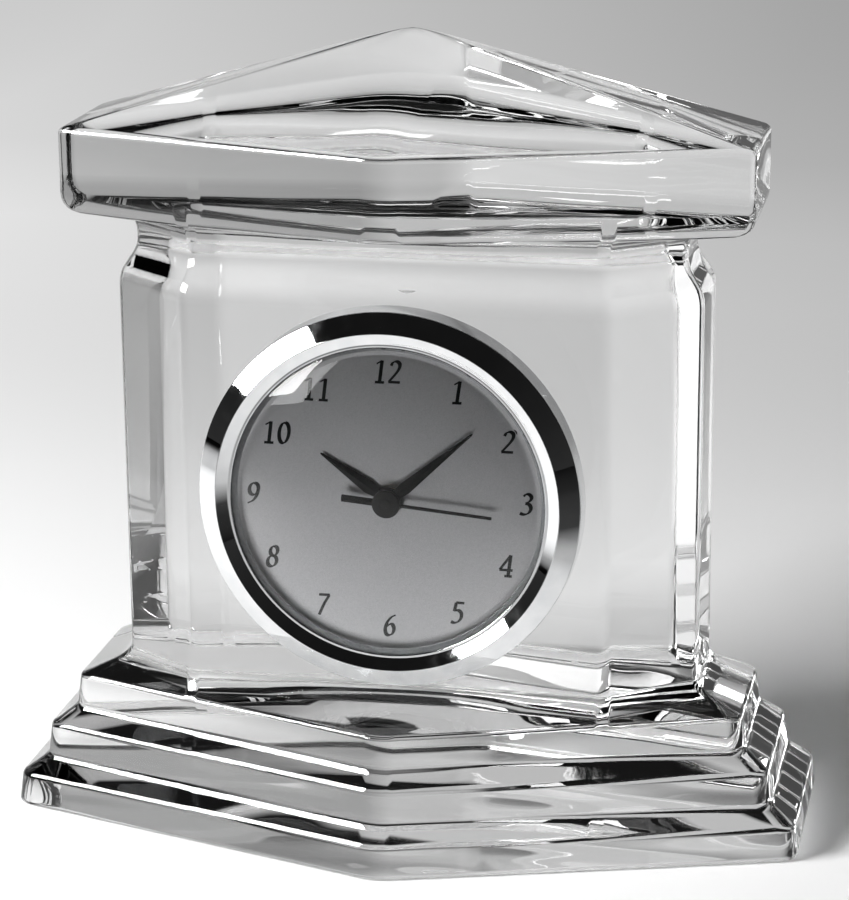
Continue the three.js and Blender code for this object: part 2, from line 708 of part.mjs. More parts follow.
function setKnob() {
  const outline = Array.from({ length: 2 * KNOB_RIBS }, (_, i) => (
    polar(i % 2 ? KNOB_RADIUS : KNOB_RADIUS - KNOB_RIB_DEPTH, i * 180 / KNOB_RIBS)
  ));
  const socket = rod(SET_STEM_RADIUS + SEAT_GAP, stemBack - SEAT_GAP, knobFront + SEAT_GAP);
  return cut(slab(outline, knobBack, knobFront), socket);
}

add(insert, 'rotor', rotor(), MAGNET, rotorCentre);
add(insert, 'intermediate_wheel', intermediateWheel(), WHITE_PLASTIC, intermediateCentre);
add(insert, 'second_wheel', secondWheel(), WHITE_PLASTIC, centre);
add(insert, 'third_wheel', thirdWheel(), WHITE_PLASTIC, thirdCentre);
add(insert, 'minute_wheel', minuteWheel(), BRASS, centre);
add(insert, 'motion_wheel', motionWheel(), WHITE_PLASTIC, motionCentre);
add(insert, 'hour_wheel', hourWheel(), BRASS, centre);
add(insert, 'set_stem', setStem(), WHITE_PLASTIC, setCentre);
add(insert, 'set_knob', setKnob(), BLACK_PLASTIC, setCentre);

// Motor levels and the coil's screws
const statorFront = plateBack - STATOR_DROP;
const statorBack = statorFront - STATOR_THICKNESS;
const coreBack = statorFront + SEAT_GAP;
const coreFront = coreBack + CORE_THICKNESS;
const coilMiddle = (coreBack + coreFront) / 2;
const coilLeft = rotorCentre[0] + STATOR_REACH;
const coilScrewX = [coilLeft, coilLeft + COIL_LENGTH + CORE_END + 2 * SEAT_GAP];
const coilCentreX = (coilScrewX[0] + coilScrewX[1]) / 2;
const coilCentreY = rotorCentre[1] + COIL_RISE;
const screwHole = SCREW_SHANK + SEAT_GAP;
const stemHole = SET_STEM_RADIUS + RUN_GAP;

// A cutting tool that runs past both faces of a plate
function through(radius, back, front, x, y, sides) {
  return rod(radius, back - CUT_MARGIN, front + CUT_MARGIN, x, y, sides);
}

// Main plate with its pillars, coil posts and the motion wheel's stud
function mainPlate() {
  const pillarBack = rearPlateFront + SEAT_GAP;
  const postBack = coreFront + SEAT_GAP;
  const body = [rod(plateRadius, plateBack, plateFront, 0, 0, LARGE_SIDES)];
  const holes = [through(hourTubeOuter + RUN_GAP, plateBack, plateFront)];
  for (const degrees of PILLAR_ANGLES) {
    const [x, y] = polar(pillarCircle, degrees);
    body.push(rod(PILLAR_RADIUS, pillarBack, plateFront, x, y));
    holes.push(rod(screwHole, pillarBack - CUT_MARGIN, pillarBack + SCREW_GRIP, x, y));
  }
  for (const x of coilScrewX) {
    body.push(rod(PILLAR_RADIUS, postBack, plateFront, x, coilCentreY));
    holes.push(rod(screwHole, postBack - CUT_MARGIN, postBack + SCREW_GRIP, x, coilCentreY));
  }
  for (const [x, y] of [thirdCentre, intermediateCentre, rotorCentre]) {
    holes.push(through(pivotHole, plateBack, plateFront, x, y));
  }
  holes.push(through(stemHole, plateBack, plateFront, ...setCentre));
  body.push(rod(STUD_RADIUS, motionPlane - WHEEL_THICKNESS / 2, plateFront, ...motionCentre));
  return cut(join(...body), ...holes);
}

// Levels of the cell in its well, from the well's floor back to the cap
const wellInner = CELL_RADIUS + SEAT_GAP;
const wellOuter = wellInner + WELL_WALL;
const contactFront = rearPlateFront + WELL_DEPTH;
const contactBack = contactFront - CONTACT_THICKNESS;
const wellFloor = contactFront + SEAT_GAP;
const cellFront = contactBack - SEAT_GAP;
const cellBack = cellFront - CELL_HEIGHT;
const boardFront = contactBack - SEAT_GAP;
const boardBack = boardFront - BOARD_THICKNESS;
const boardScrewX = [-1, 1].map((side) => BOARD_X + side * BOARD_SCREW_SPACING / 2);

// Rear plate with the cell's well, the board's posts and the case screws' bosses
function rearPlate() {
  const body = [
    rod(rearPlateRadius, rearPlateBack, rearPlateFront, 0, 0, LARGE_SIDES),
    rod(wellOuter, rearPlateBack, wellFloor + WELL_WALL, CELL_X, CELL_Y, MEDIUM_SIDES),
  ];
  const holes = [
    rod(wellInner, rearPlateBack - CUT_MARGIN, wellFloor, CELL_X, CELL_Y, MEDIUM_SIDES),
    block(
      CELL_X, CELL_X + wellOuter + CUT_MARGIN, CELL_Y - CONTACT_OFFSET - CONTACT_WIDTH / 2 - SEAT_GAP,
      CELL_Y + CONTACT_OFFSET + CONTACT_WIDTH / 2 + SEAT_GAP, rearPlateFront, wellFloor,
    ),
    through(stemHole, rearPlateBack, rearPlateFront, ...setCentre),
  ];
  for (const [x, y] of [centre, thirdCentre, intermediateCentre, rotorCentre]) {
    holes.push(through(pivotHole, rearPlateBack, rearPlateFront, x, y));
  }
  for (const degrees of PILLAR_ANGLES) {
    holes.push(through(screwHole, rearPlateBack, rearPlateFront, ...polar(pillarCircle, degrees)));
  }
  for (const degrees of CASE_SCREW_ANGLES) {
    const [x, y] = polar(CASE_SCREW_CIRCLE, degrees);
    body.push(rod(PILLAR_RADIUS, canInside + SEAT_GAP, rearPlateFront, x, y));
    holes.push(rod(screwHole, canInside, canInside + SCREW_GRIP, x, y));
  }
  for (const x of boardScrewX) {
    body.push(rod(PILLAR_RADIUS, rearPlateFront - SEAT_GAP, boardBack - SEAT_GAP, x, BOARD_Y));
    holes.push(rod(screwHole, boardBack - SCREW_GRIP, boardBack, x, BOARD_Y));
  }
  return cut(join(...body), ...holes);
}

add(insert, 'main_plate', mainPlate(), GREY_PLASTIC);
add(insert, 'rear_plate', rearPlate(), GREY_PLASTIC);

// Slotted screw with its head behind the seat, or in front of it when flipped
function screw(seat, grip, flipped = false) {
  const head = rod(SCREW_HEAD, -SCREW_HEAD_HEIGHT, 0);
  const shank = rod(SCREW_SHANK, -SCREW_HEAD_HEIGHT / 2, grip);
  const half = SCREW_SLOT / 2;
  const slotFloor = SCREW_SLOT - SCREW_HEAD_HEIGHT;
  const slot = block(-SCREW_HEAD, SCREW_HEAD, -half, half, -2 * SCREW_HEAD_HEIGHT, slotFloor);
  const solid = cut(join(head, shank), slot);
  return solid.rotateX(flipped ? Math.PI : 0).translate(0, 0, seat);
}

PILLAR_ANGLES.forEach((degrees, i) => {
  const solid = screw(rearPlateBack - SEAT_GAP, PLATE_THICKNESS + SCREW_GRIP - SCREW_END_GAP);
  add(insert, `plate_screw_${i + 1}`, solid, STEEL, polar(pillarCircle, degrees));
});
CASE_SCREW_ANGLES.forEach((degrees, i) => {
  const solid = screw(canBack - SEAT_GAP, CAN_FLOOR + SCREW_GRIP);
  add(insert, `case_screw_${i + 1}`, solid, STEEL, polar(CASE_SCREW_CIRCLE, degrees));
});
coilScrewX.forEach((x, i) => {
  const solid = screw(statorBack - SEAT_GAP, coreFront - statorBack + SCREW_GRIP);
  add(insert, `coil_screw_${i + 1}`, solid, STEEL, [x, coilCentreY]);
});
boardScrewX.forEach((x, i) => {
  const solid = screw(boardFront + SEAT_GAP, BOARD_THICKNESS + SCREW_GRIP - SCREW_END_GAP, true);
  add(insert, `board_screw_${i + 1}`, solid, STEEL, [x, BOARD_Y]);
});

// Motor: a U-shaped stator round the coil, open at the rotor's pole
function stator() {
  const half = CORE_WIDTH / 2 + SEAT_GAP;
  const left = coilScrewX[0] - CORE_END / 2;
  const right = coilScrewX[1] + CORE_END / 2;
  const innerLeft = coilScrewX[0] + CORE_END / 2;
  const innerRight = coilScrewX[1] - CORE_END / 2;
  const top = coilCentreY + half;
  const inner = coilCentreY - COIL_RADIUS - SEAT_GAP;
  const outer = inner - CORE_WIDTH;
  const yoke = slab([
    [left, outer], [right, outer], [right, top], [innerRight, top],
    [innerRight, inner], [innerLeft, inner], [innerLeft, top], [left, top],
  ], statorBack, statorFront);
  const pole = rod(STATOR_POLE_RADIUS, statorBack, statorFront, ...rotorCentre, MEDIUM_SIDES);
  const gap = through(MAGNET_RADIUS + 2 * RUN_GAP, statorBack, statorFront, ...rotorCentre, MEDIUM_SIDES);
  const holes = coilScrewX.map((x) => through(screwHole, statorBack, statorFront, x, coilCentreY));
  return cut(join(yoke, pole), gap, ...holes);
}

function coilCore() {
  const left = coilScrewX[0] - CORE_END / 2;
  const right = coilScrewX[1] + CORE_END / 2;
  const half = CORE_WIDTH / 2;
  const eyes = coilScrewX.map((x) => rod(half + SEAT_GAP, coreBack, coreFront, x, coilCentreY));
  const bar = block(left + half, right - half, coilCentreY - half, coilCentreY + half, coreBack, coreFront);
  const holes = coilScrewX.map((x) => through(screwHole, coreBack, coreFront, x, coilCentreY));
  return cut(join(bar, ...eyes), ...holes);
}

function alongX(geometry) {
  return geometry.rotateY(Math.PI / 2).translate(coilCentreX, coilCentreY, coilMiddle);
}

const bobbinTube = Math.hypot(CORE_WIDTH / 2, CORE_THICKNESS / 2) + 2 * BOBBIN_GAP + BOBBIN_WALL;

function coilBobbin() {
  const half = COIL_LENGTH / 2;
  const spool = alongX(turned([
    [0, -half], [COIL_RADIUS, -half], [COIL_RADIUS, BOBBIN_FLANGE - half], [bobbinTube, BOBBIN_FLANGE - half],
    [bobbinTube, half - BOBBIN_FLANGE], [COIL_RADIUS, half - BOBBIN_FLANGE], [COIL_RADIUS, half], [0, half],
  ], SMALL_SIDES));
  const wide = CORE_WIDTH / 2 + BOBBIN_GAP;
  const window = block(
    coilCentreX - half - CUT_MARGIN, coilCentreX + half + CUT_MARGIN, coilCentreY - wide, coilCentreY + wide,
    coreBack - BOBBIN_GAP, coreFront + BOBBIN_GAP,
  );
  return cut(spool, window);
}

function coilWinding() {
  const half = COIL_LENGTH / 2 - BOBBIN_FLANGE - SEAT_GAP;
  return alongX(ring(bobbinTube + BOBBIN_GAP, COIL_RADIUS, -half, half, SMALL_SIDES));
}

add(insert, 'stator', stator(), STEEL);
add(insert, 'coil_core', coilCore(), STEEL);
add(insert, 'coil_bobbin', coilBobbin(), WHITE_PLASTIC);
add(insert, 'coil_winding', coilWinding(), COPPER);

// Circuit board with its chip and resonator
function circuitBoard() {
  const sheet = block(
    BOARD_X - BOARD_WIDTH / 2, BOARD_X + BOARD_WIDTH / 2,
    BOARD_Y - BOARD_HEIGHT / 2, BOARD_Y + BOARD_HEIGHT / 2, boardBack, boardFront,
  );
  return cut(sheet, ...boardScrewX.map((x) => through(screwHole, boardBack, boardFront, x, BOARD_Y)));
}

function chip() {
  const back = boardFront + SEAT_GAP;
  return turned([[0, back], ...dome(CHIP_RADIUS, back, CHIP_HEIGHT, CHIP_STEPS, CHIP_POWER)], SMALL_SIDES);
}

function resonator() {
  const can = new THREE.CylinderGeometry(RESONATOR_RADIUS, RESONATOR_RADIUS, RESONATOR_LENGTH, SMALL_SIDES);
  can.rotateZ(Math.PI / 2);
  return can.translate(0, 0, boardFront + SEAT_GAP + RESONATOR_RADIUS);
}

add(insert, 'circuit_board', circuitBoard(), BOARD_GREEN);
add(insert, 'chip', chip(), BLACK_PLASTIC, [BOARD_X, BOARD_Y + CHIP_OFFSET]);
add(insert, 'quartz_resonator', resonator(), STEEL, [BOARD_X, BOARD_Y + RESONATOR_OFFSET]);

// Cell and its two contacts, which run over the board's edge
function contactStrip(side, from) {
  const middle = CELL_Y + side * CONTACT_OFFSET;
  const edge = BOARD_X - BOARD_WIDTH / 2 + CONTACT_OVERLAP;
  return block(from, edge, middle - CONTACT_WIDTH / 2, middle + CONTACT_WIDTH / 2, contactBack, contactFront);
}

function positiveContact() {
  const face = CELL_X + wellInner;
  const middle = CELL_Y + CONTACT_OFFSET;
  const leaf = block(
    face, face + CONTACT_THICKNESS, middle - CONTACT_WIDTH / 2, middle + CONTACT_WIDTH / 2,
    rearPlateFront + SEAT_GAP, contactFront,
  );
  return join(contactStrip(1, face), leaf);
}

const batteryCell = rod(CELL_RADIUS, cellBack, cellFront, 0, 0, MEDIUM_SIDES);
add(insert, 'battery_cell', batteryCell, STEEL, [CELL_X, CELL_Y]);
add(insert, 'battery_contact_positive', positiveContact(), STEEL);
add(insert, 'battery_contact_negative', contactStrip(-1, CELL_X), STEEL);

// Cell cap: a cup with two bayonet lugs behind the can's floor and a coin slot outside
const capPlug = wellInner + WELL_WALL;
const capHole = capPlug + SEAT_GAP;
const capFlangeRadius = capHole + CAP_LUG;
const capFront = canInside + SEAT_GAP + CAP_LUG_HEIGHT;
const capFloor = cellBack - SEAT_GAP;
const capFlangeFront = canBack - SEAT_GAP;

function lugSector(radius, from, to, degrees, turn) {
  const points = [[0, 0]];
  for (let i = 0; i <= CAP_LUG_STEPS; i += 1) {
    points.push(polar(radius, turn - degrees / 2 + degrees * i / CAP_LUG_STEPS));
  }
  return slab(points, from, to);
}

function batteryCap() {
  const cup = rod(capPlug, capFlangeFront, capFront, 0, 0, MEDIUM_SIDES);
  const flange = rod(capFlangeRadius, capFlangeFront - CAP_FLANGE, capFlangeFront, 0, 0, MEDIUM_SIDES);
  const lugs = [0, 180].map((turn) => lugSector(
    capPlug + CAP_LUG, capFront - CAP_LUG_HEIGHT, capFront, CAP_LUG_ANGLE, turn,
  ));
  const hollow = rod(wellInner, capFloor, capFront + CUT_MARGIN, 0, 0, MEDIUM_SIDES);
  const outside = capFlangeFront - CAP_FLANGE;
  const slot = block(
    -capPlug, capPlug, -COIN_SLOT_WIDTH / 2, COIN_SLOT_WIDTH / 2,
    outside - CUT_MARGIN, outside + COIN_SLOT_DEPTH,
  );
  return cut(join(cup, flange, ...lugs), hollow, slot);
}

add(insert, 'battery_cap', batteryCap(), BLACK_PLASTIC, [CELL_X, CELL_Y]);

// Can with its ledge, the grip ring's groove and the holes in its floor
function caseCan() {
  const ledgeFront = plateBack - SEAT_GAP;
  const grooveFront = -GRIP_SETBACK + SEAT_GAP;
  const grooveBack = -GRIP_SETBACK - GRIP_WIDTH - SEAT_GAP;
  const shell = turned([
    [0, canBack], [CAN_RADIUS, canBack], [CAN_RADIUS, grooveBack],
    [CAN_RADIUS - GRIP_GROOVE, grooveBack], [CAN_RADIUS - GRIP_GROOVE, grooveFront],
    [CAN_RADIUS, grooveFront], [CAN_RADIUS, plateFront], [canInner, plateFront],
    [canInner, ledgeFront], [ledgeInner, ledgeFront], [ledgeInner, canInside], [0, canInside],
  ], LARGE_SIDES);
  const holes = [
    through(capHole, canBack, canInside, CELL_X, CELL_Y, MEDIUM_SIDES),
    through(stemHole, canBack, canInside, ...setCentre),
  ];
  for (const turn of [-CAP_TURN, 180 - CAP_TURN]) {
    const width = CAP_LUG_ANGLE + CAP_NOTCH_PLAY;
    const notch = lugSector(capHole + CAP_LUG, canBack - CUT_MARGIN, canInside + CUT_MARGIN, width, turn);
    holes.push(notch.translate(CELL_X, CELL_Y, 0));
  }
  for (const degrees of CASE_SCREW_ANGLES) {
    holes.push(through(screwHole, canBack, canInside, ...polar(CASE_SCREW_CIRCLE, degrees)));
  }
  return cut(shell, ...holes);
}

function gripRing() {
  const inner = CAN_RADIUS - GRIP_GROOVE + SEAT_GAP;
  return ring(inner, boreRadius - SEAT_GAP, -GRIP_SETBACK - GRIP_WIDTH, -GRIP_SETBACK, LARGE_SIDES);
}

add(insert, 'case_can', caseCan(), BLACK_PLASTIC);
add(insert, 'grip_ring', gripRing(), RUBBER);

export default clock;
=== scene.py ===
import json
import math

import bmesh
import bpy
from mathutils import Matrix, Vector

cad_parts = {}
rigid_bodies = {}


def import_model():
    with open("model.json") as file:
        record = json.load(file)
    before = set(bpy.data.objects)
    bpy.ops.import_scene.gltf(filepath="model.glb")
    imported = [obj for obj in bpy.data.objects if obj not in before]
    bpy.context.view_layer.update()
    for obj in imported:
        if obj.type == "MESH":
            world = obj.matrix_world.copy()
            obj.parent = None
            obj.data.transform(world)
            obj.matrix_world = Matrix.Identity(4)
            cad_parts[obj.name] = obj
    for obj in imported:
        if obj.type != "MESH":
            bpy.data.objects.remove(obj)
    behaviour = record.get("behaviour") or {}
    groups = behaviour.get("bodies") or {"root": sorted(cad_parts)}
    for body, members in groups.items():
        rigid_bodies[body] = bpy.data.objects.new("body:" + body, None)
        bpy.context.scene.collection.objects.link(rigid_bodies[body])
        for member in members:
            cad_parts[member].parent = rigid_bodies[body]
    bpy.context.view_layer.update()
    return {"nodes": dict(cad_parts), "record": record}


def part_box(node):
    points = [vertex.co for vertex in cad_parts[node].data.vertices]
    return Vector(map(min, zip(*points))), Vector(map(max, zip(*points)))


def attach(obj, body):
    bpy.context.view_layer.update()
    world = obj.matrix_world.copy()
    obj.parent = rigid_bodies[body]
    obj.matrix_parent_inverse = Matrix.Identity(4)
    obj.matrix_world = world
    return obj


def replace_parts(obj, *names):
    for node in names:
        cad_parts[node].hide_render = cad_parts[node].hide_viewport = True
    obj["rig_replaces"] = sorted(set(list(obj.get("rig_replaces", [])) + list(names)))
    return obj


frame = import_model()
nodes = frame["nodes"]
MM = 0.001
SEAT_GAP = 0.3
AXIS_LIMIT = 1e-6

# Crystal block: sizes are half width, end depth and V depth; edges reach before and after a corner, going up
STEP_COUNT = 3
BASE_SIZE = (75, 20.2, 43.4)
STEP_INSETS = (5.4, 2.7, 3.35)
STEP_RISER = 6.2
STEP_PITCH = 9.5
RISER_DRAFT = 0.7
FOOT_EDGE = (1.2, 1.2)
STEP_EDGE = (0.7, 0.9)
STEP_HOLLOW = (1.2, 0.8)
BASE_TOP = 27
BASE_CAP_INSET = 3
BODY_HALF_WIDTH = 55.2
BODY_FRONT_HALF_WIDTH = 39.4
BODY_HALF_DEPTH = 21
BODY_END_DEPTH = 8.5
BODY_REAR_END_DEPTH = 11
BODY_FOOT = 28.5
BODY_FOOT_HOLLOW = (4, 2)
SHOULDER_FOOT = 103.9
SHOULDER_EDGE = (2.4, 2)
SHOULDER_INSET = 3.3
NECK_FOOT = 108.9
NECK_EDGE = (2, 1.6)
NECK_COVE = (3.6, 6)
ROOF_SIZE = (64.6, 13.3, 31.6)
ROOF_FOOT = 115.5
ROOF_LOWER_EDGE = (6, 4.5)
ROOF_TOP = 131.8
ROOF_UPPER_EDGE = (1.1, 1.5)
PEAK = 150.1
PEAK_FLAT = 0.04
PEAK_TIP = 0.001
PEAK_EDGE = (10, 2.5)
NO_EDGE = (0, 0)
V_EDGE = 3
V_FOLD = 13.4
V_SOFTEST = 0.12
CREASE_EDGE = 1.5
BASE_END_EDGE = 3
END_EDGE = 1.3
ROUND_STEPS = 7
REACH_LIMIT = 0.96

# Waves of the pressed glass: height, length over which it changes, and shares of it in the body and roof
WAVE_HEIGHT = 1.3
WAVE_FADE = 8
BODY_WAVES = 0.06
ROOF_WAVES = 0.8

# Grain of plain finishes: the noise levels at its extremes, and its shares of the roughness there
GRAIN_RANGE = (0.3, 0.7)
GRAIN_GLOSS = (0.85, 1.15)

# Small edges of the insert's pieces
HAIR_EDGE = 0.05
FINE_EDGE = 0.1
SMALL_EDGE = 0.15
SOFT_EDGE = 0.2
ROUND_EDGE = 0.3
EDGE_STEPS = 3
SHARP_ANGLE = 35

# Round insert
BORE_RADIUS = 31.2
BORE_FLOOR_GAP = 1.3
CAN_RADIUS = 30.2
BEZEL_BORE = 30.5
BEZEL_RADIUS = 35.8
BEZEL_TAPER = 0.2
BEZEL_SIDE = 5
BEZEL_CREST = 32
BEZEL_LIP_RADIUS = 29.9
BEZEL_OPENING = 29.3
BEZEL_STEP = 1.2
BEZEL_LIP = 0.4
BEZEL_FOOT_EDGE = 0.25
BEZEL_CREST_EDGE = 0.16
BEZEL_LIP_EDGE = 0.12
LENS_RADIUS = 29
LENS_FLANGE = 1
LENS_EDGE = 0.6
LENS_THICKNESS = 1.6
LENS_POWER = 4
LENS_STEPS = 28
GASKET_INNER = 27.9
DIAL_HOLE = 2.7
SIDES = 160

# Hands: angle clockwise from twelve, length, widest half width
HOUR_HAND = (304, 15.2, 1.35)
MINUTE_HAND = (49, 20.9, 1.2)
SECOND_HAND = (95, 19.5, 0.34)
HOUR_HOLE = 2.05
MINUTE_HOLE = 1.45
HAND_WAIST = 0.8
HAND_WIDEST = 4.4
HAND_TIP_RUN = 0.3
HAND_TIP = 0.2
HAND_POINT = 0.07
HAND_THICKNESS = 0.35
HAND_SIDE_SHARE = 0.45
HAND_SIDES = 64
HAND_SHARP_ANGLE = 20
BOSS_EDGE = 0.12
NEEDLE_START = 0.8
NEEDLE_TIP_RUN = 0.2
NEEDLE_TAPER = (0.85, 0.6)
SECOND_TAIL = 8.4
TAIL_HALF_WIDTH = 0.68
TAIL_CORNER = 0.1
HUB_RADIUS = 2.6
HUB_HEIGHT = 1
HUB_BORE = 0.7
HUB_EDGE = 0.25
HUB_BUTTON = (1.1, 0.95)
HUB_BUTTON_HEIGHT = 0.12
SECOND_SHARP_ANGLE = 25

# Numbers drawn with a broad pen, in a digit box one high
HOUR_ANGLE = 30
NUMBER_REACH = (25.4, 24.1)
NUMBER_HEIGHT = 4.25
NUMBER_SLANT = 0.14
NUMBER_RELIEF = 0.04
NUMBER_NUDGES = {3: (0, 0.6), 4: (-0.4, 0.8), 10: (1.2, -0.3), 11: (-0.6, -0.6)}
PEN_THICK = 0.165
PEN_THIN = 0.066
PEN_ANGLE = math.radians(30)
DIGIT_GAP = 0.14
DIGIT_WIDTH = 0.55
DIGIT_WIDTHS = {"1": 0.5}
OVAL_POINTS = 13
STROKE_STEPS = 8

# Rear of the insert
CELL_CENTRE = (-14.3, -12.6)
SET_CENTRE = (0, -21.25)
CUT_MARGIN = 1
DRILL_SIDES = 48
SECTOR_STEPS = 10
CAN_FLOOR = 1.2
CAN_EDGE = 0.8
CAN_BORE = 27.4
CAN_SEAT_RADIUS = 28.6
CAN_SEAT_DEPTH = 1.5
GROOVE_RADIUS = 29.2
GROOVE_BACK = -7.6
GROOVE_FRONT = -4.4
GRIP_INNER = 29.5
GRIP_SHOULDER = 30.5
GRIP_RIB = 30.9
GRIP_VALLEY = 30.6
GRIP_BACK = -7.3
GRIP_FRONT = -4.7
GRIP_RIB_INSET = 0.5
CAP_PLUG = 6.9
CAP_HOLE = 7.2
CAP_LUG = 1
CAP_TURN = 60
CAP_FLANGE = 1
CAP_EDGE = 0.35
CAP_HOLLOW = 6.1
CAP_THICKNESS = 2.35
CAP_SIDES = 96
LUG_ANGLE = 40
LUG_HEIGHT = 0.6
LUG_ROOT = 6.3
NOTCH_ANGLE = 46
COIN_SLOT = (1.6, 0.6)
STEM_HOLE = 1.3
KNOB_RADIUS = 4
KNOB_RIBS = 14
KNOB_RIB_STEPS = 8
KNOB_RIB_DEPTH = 0.3
KNOB_BACK_EDGE = ((0, 0.3), (0.12, 0.1), (0.35, 0))
KNOB_FRONT_EDGE = ((0.25, 0), (0, 0.15))
KNOB_DISH_RADIUS = 2.6
KNOB_DISH_DEPTHS = (0.4, 0.2)
KNOB_FLOOR = 0.8
CASE_SCREW_CIRCLE = 20
CASE_SCREW_ANGLES = (35, 165, -60)
SCREW_HEAD = 1.6
SCREW_HEAD_HEIGHT = 1
SCREW_CROWN = 1.28
SCREW_CROWN_HEIGHT = 0.95
SCREW_RIM_HEIGHT = 0.5
SCREW_SHANK = 0.7
SCREW_LENGTH = 4.2
SCREW_HOLE = 1
SCREW_HOLE_SIDES = 24
SCREW_SIDES = 32
SCREW_SLOT = 0.4
SCREW_SLOT_FLOOR = 0.6

# Paper floor that curves up behind
FLOOR_DROP = 0.2
FLOOR_NEAR = -1000
CURVE_START = 800
CURVE_RADIUS = 500
CURVE_STEPS = 16
PAPER_TOP = 890
PAPER_HALF_WIDTH = 1400

# Brightness of the paper, by millimetres behind the clock or to its right
PAPER_GREY = 0.92
PAPER_ROUGHNESS = 0.9
GLOW_BEHIND = ((150, 1), (230, 1), (400, 0.93), (640, 0.7), (1000, 0.57))
GLOW_ACROSS = ((-332, 1), (-3, 0.64), (102, 0.57))
GLOW_TOP = (570, 850)
GLOW_TOP_LEVEL = 0.03
GLOW_START = (200, 500)
# Painted light and shade that metal and glass see on the paper: colour falling off in front and to the right
# of the clock, and a painted shadow from 26 to 98 mm behind it
PAINTED_LIGHT_BEHIND = (
    (-358, 0.05), (-274, 0.1), (-232, 0.4), (-118, 0.82), (-40, 0.95), (26, 0.65), (98, 0.65), (140, 1),
)
PAINTED_LIGHT_ACROSS = ((-420, 0.25), (-180, 1), (92, 1), (140, 0.05))
PAINTED_LIGHT_LEAST = 0.7
PAINTED_LIGHT_LEAST_START = (-120, -80)
UNDER_GLOW = 0.35
UNDER_ACROSS = ((-80, 0), (-72, 1), (72, 1), (80, 0))
UNDER_BEHIND = ((-48, 0), (-40.8, 1), (40.8, 1), (48, 0))

# Dark room, by the share of the way from straight down to straight up, and the one lamp
ROOM = ((0.45, 0.03), (0.6, 0.016), (0.8, 0.008))
ROOM_SEEN = 0.6
KEY_AIM = (0, 0, 70)
KEY_DIRECTION = (-0.742, -0.52, 0.423)
KEY_DISTANCE = 900
KEY_SIZE = (482, 370)
KEY_WATTS = 19

# Camera fitted to the photo
CAMERA_LENS = 126.3
CAMERA_YAW = math.radians(11.8)
CAMERA_PITCH = math.radians(16.45)
CAMERA_ROLL = math.radians(-0.44)
CAMERA_PLACE = (118.963, -562.196, 239.281)

bezel_low, bezel_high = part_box("bezel")
CENTRE_Z = (bezel_low.z + bezel_high.z) / 2
FACE_Y = bezel_high.y + SEAT_GAP * MM


# Back and front of a solid, counted outwards from the block's front face
def levels(node):
    low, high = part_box(node)
    return (FACE_Y - high.y) / MM, (FACE_Y - low.y) / MM


BEZEL_TOP = levels("bezel")[1]
LENS_BACK, LENS_TOP = levels("lens")
DIAL_BACK, DIAL_FRONT = levels("dial")
CAN_BACK, CAN_FRONT = levels("case_can")
CAP_BACK, CAP_FRONT = levels("battery_cap")


# Frames and meshes
def block_point(x, y, z):
    return Vector((x * MM, y * MM, z * MM))


def insert_point(x, y, z):
    return Vector((x * MM, FACE_Y - z * MM, CENTRE_Z + y * MM))


def polar(radius, angle):
    return radius * math.cos(angle), radius * math.sin(angle)


def new_object(name, data):
    holder = bpy.data.objects.new(name, data)
    bpy.context.scene.collection.objects.link(holder)
    return holder


def mesh_object(name, points, faces):
    mesh = bpy.data.meshes.new(name)
    mesh.from_pydata(points, [], faces)
    work = bmesh.new()
    work.from_mesh(mesh)
    bmesh.ops.recalc_face_normals(work, faces=work.faces)
    work.to_mesh(mesh)
    work.free()
    return new_object(name, mesh)


def bake(piece):
    graph = bpy.context.evaluated_depsgraph_get()
    mesh = bpy.data.meshes.new_from_object(piece.evaluated_get(graph))
    piece.modifiers.clear()
    piece.data = mesh


def cut(piece, *tools):
    for tool in tools:
        modifier = piece.modifiers.new("cut", "BOOLEAN")
        modifier.object = tool
        modifier.operation = "DIFFERENCE"
        modifier.solver = "EXACT"
    bake(piece)
    for tool in tools:
        bpy.data.objects.remove(tool)


def soften(piece, sharp_angle=SHARP_ANGLE):
    piece.data.shade_smooth()
    piece.data.set_sharp_from_angle(angle=math.radians(sharp_angle))
    modifier = piece.modifiers.new("normals", "WEIGHTED_NORMAL")
    modifier.keep_sharp = True
    bake(piece)


def merge(name, *pieces):
    work = bmesh.new()
    for piece in pieces:
        work.from_mesh(piece.data)
        bpy.data.objects.remove(piece)
    mesh = bpy.data.meshes.new(name)
    work.to_mesh(mesh)
    work.free()
    return new_object(name, mesh)


# A line of points with each corner turned into a small curve that starts and ends the given reaches from it
def rounded(points, reaches, steps, closed):
    points = [Vector(point) for point in points]
    count = len(points)
    sides = []
    for i, point in enumerate(points):
        follow = (i + 1) % count
        length = (points[follow] - point).length
        wanted = reaches[i][1] + reaches[follow][0]
        share = min(1, REACH_LIMIT * length / wanted) if wanted else 0
        sides.append((points[follow] - point).normalized() * share)
    result = []
    for i, point in enumerate(points):
        if not closed and i in (0, count - 1):
            result.append(point)
            continue
        start = point - sides[i - 1] * reaches[i][0]
        end = point + sides[i] * reaches[i][1]
        for step in range(steps + 1):
            t = step / steps
            result.append(start * (1 - t) ** 2 + point * 2 * t * (1 - t) + end * t ** 2)
    return result


# Closed rings of as many points each, joined in order and closed at both ends
def lofted(name, rings):
    count = len(rings[0])
    points = [point for ring in rings for point in ring]
    last = len(points) - count
    faces = [list(range(count)), list(range(last, last + count))]
    for first in range(0, last, count):
        for i in range(count):
            follow = (i + 1) % count
            faces.append([first + i, first + follow, first + follow + count, first + i + count])
    return mesh_object(name, points, faces)


